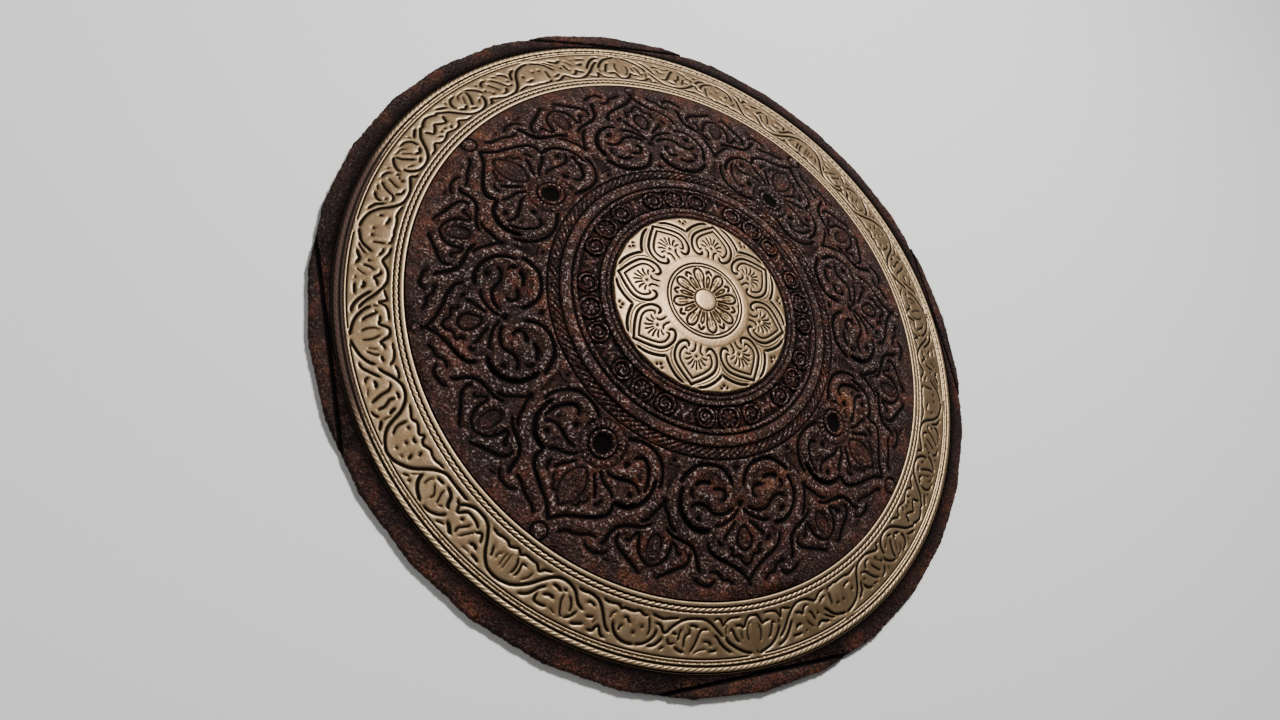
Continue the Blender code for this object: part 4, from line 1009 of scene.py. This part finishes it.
def ringField(angle, radius, drawing):
    field = Field(angle, radius, brassRing)
    origin = brassRing["inner"]
    for half, cut, *points in drawing["cuts"]:
        ends = (points[0][0] != 0, points[-1][0] != 45)
        field.groove(smoothLine(polarPlace(points, origin)), half, cut, ends)
    for size, cut, degrees, out in drawing["pits"]:
        px, py = polarPlace([(degrees, out)], origin)[0]
        field.pit(px, py, size, cut)
    out = radius - origin
    for middle, half, cut in brassRing["lines"]:
        field.cut = np.maximum(field.cut, cut * lineAt(out - middle, half))
    middle, half, cut = brassRing["brokenLine"]
    degrees = np.degrees(angle)
    whole = np.ones(angle.shape)
    for stop in drawing["breaks"]:
        whole = np.minimum(whole, np.clip((np.abs(degrees - stop) - 0.9) / 0.6, 0, 1))
    field.cut = np.maximum(field.cut, cut * whole * lineAt(out - middle, half))
    height = field.height()
    for low, high, rise in brassRing["mouldings"]:
        height = height + ridge(out, low, high, rise)
    return height


def roundTheRing(wedge, rows):
    # eighths run away from each quarter's axis, so every second one is turned over
    grid = np.meshgrid(wedge, rows)
    drawn = {name: ringField(*grid, brassRing[name]) for name in ("ribbed", "open", "bud")}
    quarters = brassRing["quarters"]
    eighths = []
    for k, quarter in enumerate(quarters):
        following = quarters[(k + 1) % len(quarters)]
        eighths.append(drawn[quarter[1]][:, :-1])
        eighths.append(drawn[following[0]][:, :0:-1])
    return np.concatenate(eighths, 1)


def ringTwists(angle, out):
    # the small ropes of the borders, and the lines that waver beside them
    wave = brassRing["waveHeight"] * np.sin(angle * brassRing["waves"])
    height = sunkRope(angle, out, brassRing["innerRope"]) + sunkRope(angle, out, brassRing["outerRope"])
    for middle, half, cut, side in brassRing["wavyLines"]:
        height = height - cut * lineAt(out - middle - side * wave, half)
    return height


def makeRing():
    columns = brassRing["columns"]
    inner = brassRing["inner"]
    outer = brassRing["outer"]
    rows = np.linspace(inner, outer, int((outer - inner) / brassRing["rows"]) + 1)
    wedge = np.linspace(0, math.pi / 4, columns // 8 + 1)
    heights = roundTheRing(wedge, rows)
    around = np.arange(columns) * tau / columns
    fullAngle, fullRadius = np.meshgrid(around, rows)
    heights = heights + ringTwists(fullAngle, fullRadius - inner)
    rings = [ringPoints(columns, r, faceHeight(r) + line) for r, line in zip(rows, heights)]
    rings[0][:, 2] -= brassRing["edgeFall"]
    rings[-1][:, 2] -= brassRing["edgeFall"]
    below = []
    for r in np.linspace(outer, inner, 4):
        below.append(ringPoints(brassRing["underColumns"], r, seatHeight(r) + dome["fitGap"]))
    ring = meshOf("brassRing", rings + below + rings[:1], brassRing["most"])
    points = pointsOf(ring)
    away = np.hypot(points[:, 0], points[:, 1])
    top = faceHeight(away) - points[:, 2] < 1.75
    points[:, 2] += np.where(top, 0.05 * waver(points, 7.0, 8), 0)
    setPoints(ring, points)
    wearShadeAndSheenMasks(ring, heights, rows, (5, 5), 0.55, 0.3, lambda p, r: faceHeight(r) - p[:, 2] < 1.75)
    turn = np.degrees(np.arctan2(points[:, 1], points[:, 0])) % 360
    tarnish = brassRing["tarnish"]
    dark = np.clip(1 - np.abs(turn - tarnish["at"]) / tarnish["half"], 0, 1)
    dark = dark * np.clip(away - inner - tarnish["out"], 0, 1)
    setMask(ring, "tarnish", dark * tarnish["strength"])
    return ring


# The brass plate: eight petals about a small rosette, drawn in mm

brassPlate = {
    "radius": 51.7,
    "rows": 0.3,
    "columns": 960,
    "most": 150000,
    "shoulder": 0.28,
    "reach": 1.5,
    "lift": 0.3,
    "thinning": ((2, 48), (6, 16), (20, 4), (99, 1)),  # below each radius, one column in so many
    "cushion": (22.7, 26.8, 0.15),   # swelling about the circles
    "button": (6.2, 0.3),
    "buttonLine": (6.4, 0.45, 0.5),
    "rimFall": (50.7, 0.3),
    "underColumns": 120,
    "crownLift": 0.35,
    "clearance": 0.02,
    "petal": {
        "cuts": [
            (0.65, 0.9, (0, 50), (0.5, 49.5), (4.5, 46.5), (8.5, 43), (11.3, 39.5), (12.3, 35.5),
             (11.6, 31.3), (9.8, 28.7), (7.5, 27.4), (5.6, 28.2), (5.2, 30)),
            (0.5, 0.7, (0, 46.5), (3.2, 44), (6.2, 41.3), (8.6, 38.4), (9.3, 35.5), (8.5, 32.7), (7, 31),
             (5.9, 32)),
            (0.5, 0.7, (1.7, 27.2), (1.5, 29.3), (1.9, 31.4), (3.4, 32.6)),
            (0.4, 0.6, (0.5, 36.6), (0.8, 39), (1.5, 41.5)),
            (0.45, 0.6, (1.5, 35.8), (2.6, 38.4), (4.0, 40.2)),
            (0.45, 0.6, (2.5, 35), (4.2, 36.8), (6.0, 37.6)),
            (0.4, 0.5, (3.1, 33.9), (4.9, 34.4), (6.4, 34.2)),
            (0.35, 0.35, (2.3, 49.8), (6.4, 47.6), (10.6, 44.2), (13.4, 40.4), (14.2, 36), (13.4, 31.5)),
            (0.75, 1.0, (4.4, 50.3), (8.4, 48.4), (12, 45.3), (14.6, 42), (16.2, 39.3)),
        ],
        "pits": [(0.7, 0.7, 0, 34.2)],
    },
    "gapPits": [(48.2, 0.0, 0.9), (49.4, 1.6, 0.8)],
    "circles": [(22.1, 0.5, 0.8), (20.3, 0.5, 0.8)],
    "between": {
        "cuts": [(0.55, 0.9, (0, 18.3), (1.1, 17.2), (1.6, 15.8)),
                 (0.45, 0.7, (0, 14.8), (0.8, 13.0), (0.6, 9.8), (0.4, 7.0))],
    },
    "smallPetal": {
        "cuts": [(0.5, 0.9, (0, 19.2), (1.6, 18.3), (2.5, 16.4), (2.5, 13.9), (1.7, 10.6), (1.0, 6.8)),
                 (0.35, 0.5, (0.8, 16.2), (1.0, 13.8), (0.6, 10.2))],
    },
}


def plateField(angle, radius):
    # half a petal; the petal's axis lies at 22.5 degrees
    field = Field(angle, radius, brassPlate)
    draw(field, brassPlate["petal"], turnedPlace(22.5), 0)
    for out, across, size in brassPlate["gapPits"]:
        field.pit(out, across, size, 0.8)
    draw(field, brassPlate["smallPetal"], turnedPlace(0, -1), 0)
    draw(field, brassPlate["between"], turnedPlace(22.5, 1), 0)
    for middle, half, cut in brassPlate["circles"]:
        field.cut = np.maximum(field.cut, cut * lineAt(radius - middle, half))
    button, swell = brassPlate["button"]
    height = field.height() + ridge(radius, *brassPlate["cushion"])
    height = height + swell * np.clip(1 - (radius / button) ** 6, 0, 1)
    middle, half, cut = brassPlate["buttonLine"]
    height = height - cut * lineAt(radius - middle, half)
    edge, fall = brassPlate["rimFall"]
    return height - fall * np.clip(radius - edge, 0, 1)


def makePlate():
    columns = brassPlate["columns"]
    outer = brassPlate["radius"]
    rows = np.linspace(0.6, outer, int(outer / brassPlate["rows"]) + 1)
    wedge = np.linspace(0, math.pi / 8, columns // 16 + 1)
    eighth = plateField(*np.meshgrid(wedge, rows))
    half = np.concatenate([eighth, eighth[:, -2:0:-1]], 1)
    heights = np.concatenate([half] * 8, 1)
    top = cadBox[1][2] * 1000 - brassPlate["clearance"]
    rings = []
    lift = brassPlate["lift"]
    for r, line in zip(rows, heights):
        few = next(few for reach, few in brassPlate["thinning"] if r < reach)
        height = np.minimum(faceHeight(r) + lift + line[::few], top)
        rings.append(ringPoints(columns // few, r, height))
    crown = np.array([[0, 0, min(faceHeight(0) + lift + brassPlate["crownLift"], top)]])
    below = []
    for r in (outer, outer * 0.6, outer * 0.3):
        below.append(ringPoints(brassPlate["underColumns"], r, seatHeight(r + 0.3) + dome["fitGap"]))
    base = np.array([[0, 0, seatHeight(0) + dome["fitGap"]]])
    plate = meshOf("centrePlate", [crown] + rings + below + [base], brassPlate["most"])
    wearShadeAndSheenMasks(plate, heights, rows, (4, 4), 0.5, 0.25, lambda p, r: faceHeight(r) - p[:, 2] < 1.75)
    return plate


shellPiece = makeShell()
ringPiece = makeRing()
platePiece = makePlate()
print("carved pieces made")


# Material tools

def put(tree, kind, values=None, **settings):
    # a node with its settings; a value is a number, a colour, or an output to join
    made = tree.nodes.new(kind)
    for name, value in settings.items():
        setattr(made, name, value)
    for name, value in (values or {}).items():
        socket = made.inputs[name]
        if isinstance(value, bpy.types.NodeSocket):
            tree.links.new(value, socket)
        else:
            socket.default_value = value
    return made


def newGroup(name, inputs, outputs):
    tree = bpy.data.node_groups.new(name, "ShaderNodeTree")
    for label, low in inputs:
        socket = tree.interface.new_socket(label, in_out="INPUT", socket_type="NodeSocketFloat")
        socket.default_value = low
    for label in outputs:
        tree.interface.new_socket(label, in_out="OUTPUT", socket_type="NodeSocketFloat")
    return tree, tree.nodes.new("NodeGroupInput"), tree.nodes.new("NodeGroupOutput")


def place3(tree):
    return put(tree, "ShaderNodeTexCoord").outputs["Object"]


def spread(tree, value, low, high, out=(0.0, 1.0)):
    # stretches low..high to the wanted span, and stops there
    node = put(tree, "ShaderNodeMapRange", {0: value, 1: low, 2: high, 3: out[0], 4: out[1]})
    return node.outputs[0]


def sums(tree, kind, a, b, third=None):
    values = {0: a, 1: b}
    if third is not None:
        values[2] = third
    return put(tree, "ShaderNodeMath", values, operation=kind).outputs[0]


def noiseOver(tree, scale, detail, roughness=0.5):
    values = {"Vector": place3(tree), "Scale": scale, "Detail": detail, "Roughness": roughness}
    return put(tree, "ShaderNodeTexNoise", values).outputs[0]


def rustGrain():
    # granular crust: height for the bump, pits, and small flecks that carry painted glints
    inputs = [("Grains", 900.0), ("Lumps", 260.0)]
    tree, given, out = newGroup("rustGrain", inputs, ["Height", "Pits", "Flecks"])
    fine = noiseOver(tree, given.outputs[0], 3.0, 0.6)
    lumps = noiseOver(tree, given.outputs[1], 4.0, 0.6)
    values = {"Vector": place3(tree), "Scale": given.outputs[0], "Randomness": 1.0}
    crumbs = put(tree, "ShaderNodeTexVoronoi", values)
    crumb = sums(tree, "MULTIPLY", crumbs.outputs["Distance"], -0.5)
    small = sums(tree, "MULTIPLY_ADD", fine, 0.8, crumb)
    whole = sums(tree, "MULTIPLY_ADD", lumps, 1.1, small)
    tree.links.new(whole, out.inputs["Height"])
    tree.links.new(spread(tree, whole, 0.78, 0.5), out.inputs["Pits"])
    tree.links.new(spread(tree, fine, 0.54, 0.66), out.inputs["Flecks"])
    return tree


def patches():
    # broad uneven patches of another colour
    tree, given, out = newGroup("patches", [("Scale", 20.0), ("From", 0.45), ("To", 0.65)], ["Mask"])
    broad = noiseOver(tree, given.outputs[0], 5.0, 0.68)
    tree.links.new(spread(tree, broad, given.outputs[1], given.outputs[2]), out.inputs[0])
    return tree


def brokenMask(name, attribute, start, reach, breakup, scale):
    # a mask kept with the mesh, broken up by noise
    inputs = [("Reach", reach), ("Breakup", breakup), ("Scale", scale)]
    tree, given, out = newGroup(name, inputs, ["Mask"])
    mask = put(tree, "ShaderNodeAttribute", attribute_name=attribute).outputs["Fac"]
    shaken = sums(tree, "SUBTRACT", noiseOver(tree, given.outputs[2], 3.0), 0.5)
    mask = sums(tree, "MULTIPLY_ADD", shaken, given.outputs[1], mask)
    tree.links.new(spread(tree, mask, start, given.outputs[0]), out.inputs[0])
    return tree


# the cuts are darkened by painted shade and by the dirt settled in them; the crests are lightened by
# painted highlights and by the wear of hands and cloth
groups = {
    "grain": rustGrain(),
    "patches": patches(),
    "dirtAndShade": brokenMask("grooveDirtAndShade", "hollow", 0.04, 0.4, 0.3, 500.0),
    "rubbedAndSheen": brokenMask("rubbedEdgeAndSheen", "crest", 0.15, 0.6, 0.6, 400.0),
}


def useGroup(tree, name, values):
    node = tree.nodes.new("ShaderNodeGroup")
    node.node_tree = groups[name]
    for label, value in values.items():
        node.inputs[label].default_value = value
    return node.outputs


def newMaterial(name, look):
    made = bpy.data.materials.new(name)
    made.use_nodes = True
    shader = made.node_tree.nodes["Principled BSDF"]
    shader.inputs["Metallic"].default_value = look["metallic"]
    shader.inputs["Specular IOR Level"].default_value = look["specular"]
    return made, made.node_tree, shader


def blendColour(tree, share, below, above):
    node = put(tree, "ShaderNodeMix", data_type="RGBA", blend_type="MIX")
    for socket, value in ((node.inputs[0], share), (node.inputs[6], below), (node.inputs[7], above)):
        if isinstance(value, bpy.types.NodeSocket):
            tree.links.new(value, socket)
        else:
            socket.default_value = value
    return node.outputs[2]


def addBump(tree, shader, height, look):
    bump = put(tree, "ShaderNodeBump", {"Height": height})
    bump.inputs["Strength"].default_value = look["bump"]
    bump.inputs["Distance"].default_value = look["bumpDepth"]
    tree.links.new(bump.outputs[0], shader.inputs["Normal"])


ironFinish = {
    "dark": (0.0125, 0.0062, 0.005, 1),
    "brown": (0.042, 0.0165, 0.0112, 1),
    "red": (0.072, 0.0195, 0.0105, 1),
    "orange": (0.140, 0.046, 0.018, 1),
    # black: painted shade in the cuts, with dirt
    "black": (0.0022, 0.0014, 0.0012, 1),
    # bright: painted glints on the flecks
    "bright": (0.31, 0.235, 0.21, 1),
    "metallic": 0.2,
    "specular": 0.08,
    "grain": {"Grains": 760.0, "Lumps": 210.0},
    "brownPatches": {"Scale": 28.0, "From": 0.4, "To": 0.62},
    "redPatches": {"Scale": 55.0, "From": 0.5, "To": 0.68},
    "orangePatches": {"Scale": 17.0, "From": 0.6, "To": 0.74},
    "dirtAndShade": {"Reach": 0.75, "Breakup": 0.4, "Scale": 600.0},
    "rubbedAndSheen": {"Reach": 0.75, "Breakup": 0.8, "Scale": 500.0},
    "flecks": (0.12, 0.75),      # share of the flecks painted as bright glints, off and on the worn crests
    "rough": (0.6, 0.35),        # crust, and the flecks with painted glints
    "dirtAndShadeRough": (0.3, 1.0),
    "bump": 0.9,
    "bumpDepth": 0.0010,
}


def rustedIron():
    look = ironFinish
    made, tree, shader = newMaterial("rusted iron", look)
    grain = useGroup(tree, "grain", look["grain"])
    dirtAndShade = useGroup(tree, "dirtAndShade", look["dirtAndShade"])
    rubbedAndSheen = useGroup(tree, "rubbedAndSheen", look["rubbedAndSheen"])
    colour = look["dark"]
    for shade in ("brown", "red", "orange"):
        patch = useGroup(tree, "patches", look[shade + "Patches"])
        colour = blendColour(tree, patch[0], colour, look[shade])
    colour = blendColour(tree, grain["Pits"], colour, look["dark"])
    # bright flecks are painted glints, most of them on the crests
    fleck = sums(tree, "MULTIPLY", grain["Flecks"], spread(tree, rubbedAndSheen[0], 0, 1, look["flecks"]))
    colour = blendColour(tree, fleck, colour, look["bright"])
    # the cuts go black with painted shade and dirt
    colour = blendColour(tree, dirtAndShade[0], colour, look["black"])
    tree.links.new(colour, shader.inputs["Base Color"])
    rough = spread(tree, fleck, 0, 0.5, look["rough"])
    rough = sums(tree, "MAXIMUM", rough, spread(tree, dirtAndShade[0], 0, 1, look["dirtAndShadeRough"]))
    tree.links.new(rough, shader.inputs["Roughness"])
    addBump(tree, shader, grain["Height"], look)
    return made


brassFinish = {
    "light": (0.228, 0.147, 0.078, 1),
    "dull": (0.158, 0.100, 0.052, 1),
    # dark: painted shade in the cuts, with dirt
    "dark": (0.010, 0.006, 0.003, 1),
    # bright: painted highlight on the crests, with wear
    "bright": (0.34, 0.243, 0.143, 1),
    "tarnish": (0.06, 0.033, 0.025, 1),
    "metallic": 0.9,
    "specular": 0.5,
    "tarnishMetallic": 0.75,
    "grain": {"Grains": 700.0, "Lumps": 180.0},
    "dullPatches": {"Scale": 35.0, "From": 0.42, "To": 0.7},
    "dirtAndShade": {"Reach": 0.7, "Breakup": 0.15, "Scale": 700.0},
    "rubbedAndSheen": {"Reach": 0.9, "Breakup": 0.3, "Scale": 300.0},
    "rough": (0.42, 0.55),       # light brass, and dull
    "dirtAndShadeRough": 0.85,
    "tarnishRough": 0.75,
    "bump": 0.25,
    "bumpDepth": 0.0003,
}


def agedBrass(name, tarnished):
    look = brassFinish
    made, tree, shader = newMaterial(name, look)
    grain = useGroup(tree, "grain", look["grain"])
    dull = useGroup(tree, "patches", look["dullPatches"])
    dirtAndShade = useGroup(tree, "dirtAndShade", look["dirtAndShade"])
    rubbedAndSheen = useGroup(tree, "rubbedAndSheen", look["rubbedAndSheen"])
    colour = blendColour(tree, dull[0], look["light"], look["dull"])
    # the crests are lightened with painted highlight and wear
    colour = blendColour(tree, rubbedAndSheen[0], colour, look["bright"])
    rough = spread(tree, dull[0], 0, 1, look["rough"])
    rough = sums(tree, "MAXIMUM", rough, spread(tree, dirtAndShade[0], 0, 1, (0.0, look["dirtAndShadeRough"])))
    if tarnished:
        mask = put(tree, "ShaderNodeAttribute", attribute_name="tarnish").outputs["Fac"]
        colour = blendColour(tree, mask, colour, look["tarnish"])
        metal = spread(tree, mask, 0, 1, (look["metallic"], look["tarnishMetallic"]))
        tree.links.new(metal, shader.inputs["Metallic"])
        rough = sums(tree, "MAXIMUM", rough, spread(tree, mask, 0, 1, (0.0, look["tarnishRough"])))
    # the cuts go dark with painted shade and dirt
    colour = blendColour(tree, dirtAndShade[0], colour, look["dark"])
    tree.links.new(colour, shader.inputs["Base Color"])
    tree.links.new(rough, shader.inputs["Roughness"])
    addBump(tree, shader, grain["Height"], look)
    return made


gripFinish = {
    "iron": (0.055, 0.046, 0.042, 1),
    "rust": (0.12, 0.055, 0.032, 1),
    "pits": (0.02, 0.014, 0.012, 1),
    "metallic": 0.55,
    "specular": 0.5,
    "grain": {"Grains": 600.0, "Lumps": 150.0},
    "rustPatches": {"Scale": 45.0, "From": 0.45, "To": 0.65},
    "rough": (0.42, 0.7),        # iron, and rust
    "bump": 0.5,
    "bumpDepth": 0.0005,
}


def forgedIron():
    look = gripFinish
    made, tree, shader = newMaterial("forged iron", look)
    grain = useGroup(tree, "grain", look["grain"])
    rust = useGroup(tree, "patches", look["rustPatches"])
    colour = blendColour(tree, rust[0], look["iron"], look["rust"])
    colour = blendColour(tree, grain["Pits"], colour, look["pits"])
    tree.links.new(colour, shader.inputs["Base Color"])
    tree.links.new(spread(tree, rust[0], 0, 1, look["rough"]), shader.inputs["Roughness"])
    addBump(tree, shader, grain["Height"], look)
    return made


def dress(piece, finish):
    piece.data.materials.clear()
    piece.data.materials.append(finish)


dress(shellPiece, rustedIron())
dress(ringPiece, agedBrass("aged brass", True))
dress(platePiece, agedBrass("aged brass plate", False))
for piece in (shellPiece, ringPiece, platePiece):
    piece.data.shade_smooth()
    piece.data.set_sharp_from_angle(angle=math.radians(75))
plainIron = forgedIron()
for name in ("grip", "grip_rivet_1", "grip_rivet_2"):
    dress(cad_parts[name], plainIron)
print("finishes made")

for piece, node, slotName in (
    (shellPiece, "shield_body", "rusted_iron"),
    (ringPiece, "brass_ring", "aged_brass"),
    (platePiece, "centre_plate", "aged_brass"),
):
    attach(piece, "root")
    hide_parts(node)


# Floor, light and camera

studio = {
    "floor": (0.62, 0.62, 0.61, 1),
    "floorRough": 0.7,
    "floorReach": 6.0,
    "world": 0.14,
    "worldColour": (1.0, 0.97, 0.93, 1),
    "lamps": {  # place, size, watts
        "key": ((-0.16, 0.58, 1.08), 0.25, 30),
        "fill": ((-0.7, -0.6, 0.9), 0.9, 4),
    },
    "aim": (0, 0, 0.02),
    "lens": 28.52,
    "turn": -9.6,
    "eye": (-0.00074, -0.34016, 0.46433),
    "right": (0.6866, 0.6046, 0.4038),
    "down": (0.7270, -0.5710, -0.3813),
    "forward": (0.0, 0.5554, -0.8316),
}


def makeFloor():
    mesh = bpy.data.meshes.new("floor")
    reach = studio["floorReach"]
    corners = [(-reach, -reach, 0), (reach, -reach, 0), (reach, reach, 0), (-reach, reach, 0)]
    mesh.from_pydata(corners, [], [(0, 1, 2, 3)])
    floor = bpy.data.objects.new("floor", mesh)
    bpy.context.scene.collection.objects.link(floor)
    made = bpy.data.materials.new("pale floor")
    made.use_nodes = True
    shader = made.node_tree.nodes["Principled BSDF"]
    shader.inputs["Base Color"].default_value = studio["floor"]
    shader.inputs["Roughness"].default_value = studio["floorRough"]
    mesh.materials.append(made)


def makeLamp(name, place, size, watts):
    lamp = bpy.data.lights.new(name, "AREA")
    lamp.shape = "DISK"
    lamp.size = size
    lamp.energy = watts
    holder = bpy.data.objects.new(name, lamp)
    holder.location = place
    holder.rotation_euler = (Vector(place) - Vector(studio["aim"])).to_track_quat("Z", "Y").to_euler()
    bpy.context.scene.collection.objects.link(holder)


def makeWorld():
    world = bpy.data.worlds.new("studio")
    bpy.context.scene.world = world
    world.use_nodes = True
    back = world.node_tree.nodes["Background"]
    back.inputs["Color"].default_value = studio["worldColour"]
    back.inputs["Strength"].default_value = studio["world"]


def makeCamera():
    lens = bpy.data.cameras.new("photo view")
    lens.lens = studio["lens"]
    lens.sensor_width = 36
    lens.clip_start = 0.01
    eye = bpy.data.objects.new("photo view", lens)
    turn = Matrix.Rotation(math.radians(studio["turn"]), 3, "Z")
    right, down, forward = (Vector(studio[name]) for name in ("right", "down", "forward"))
    facing = turn @ Matrix((right, -down, -forward)).transposed()
    eye.matrix_world = Matrix.Translation(turn @ Vector(studio["eye"])) @ facing.to_4x4()
    bpy.context.scene.collection.objects.link(eye)
    bpy.context.scene.camera = eye


makeFloor()
makeWorld()
for lampName, lampValues in studio["lamps"].items():
    makeLamp(lampName, *lampValues)
makeCamera()
print("studio made")

bpy.context.view_layer.update()
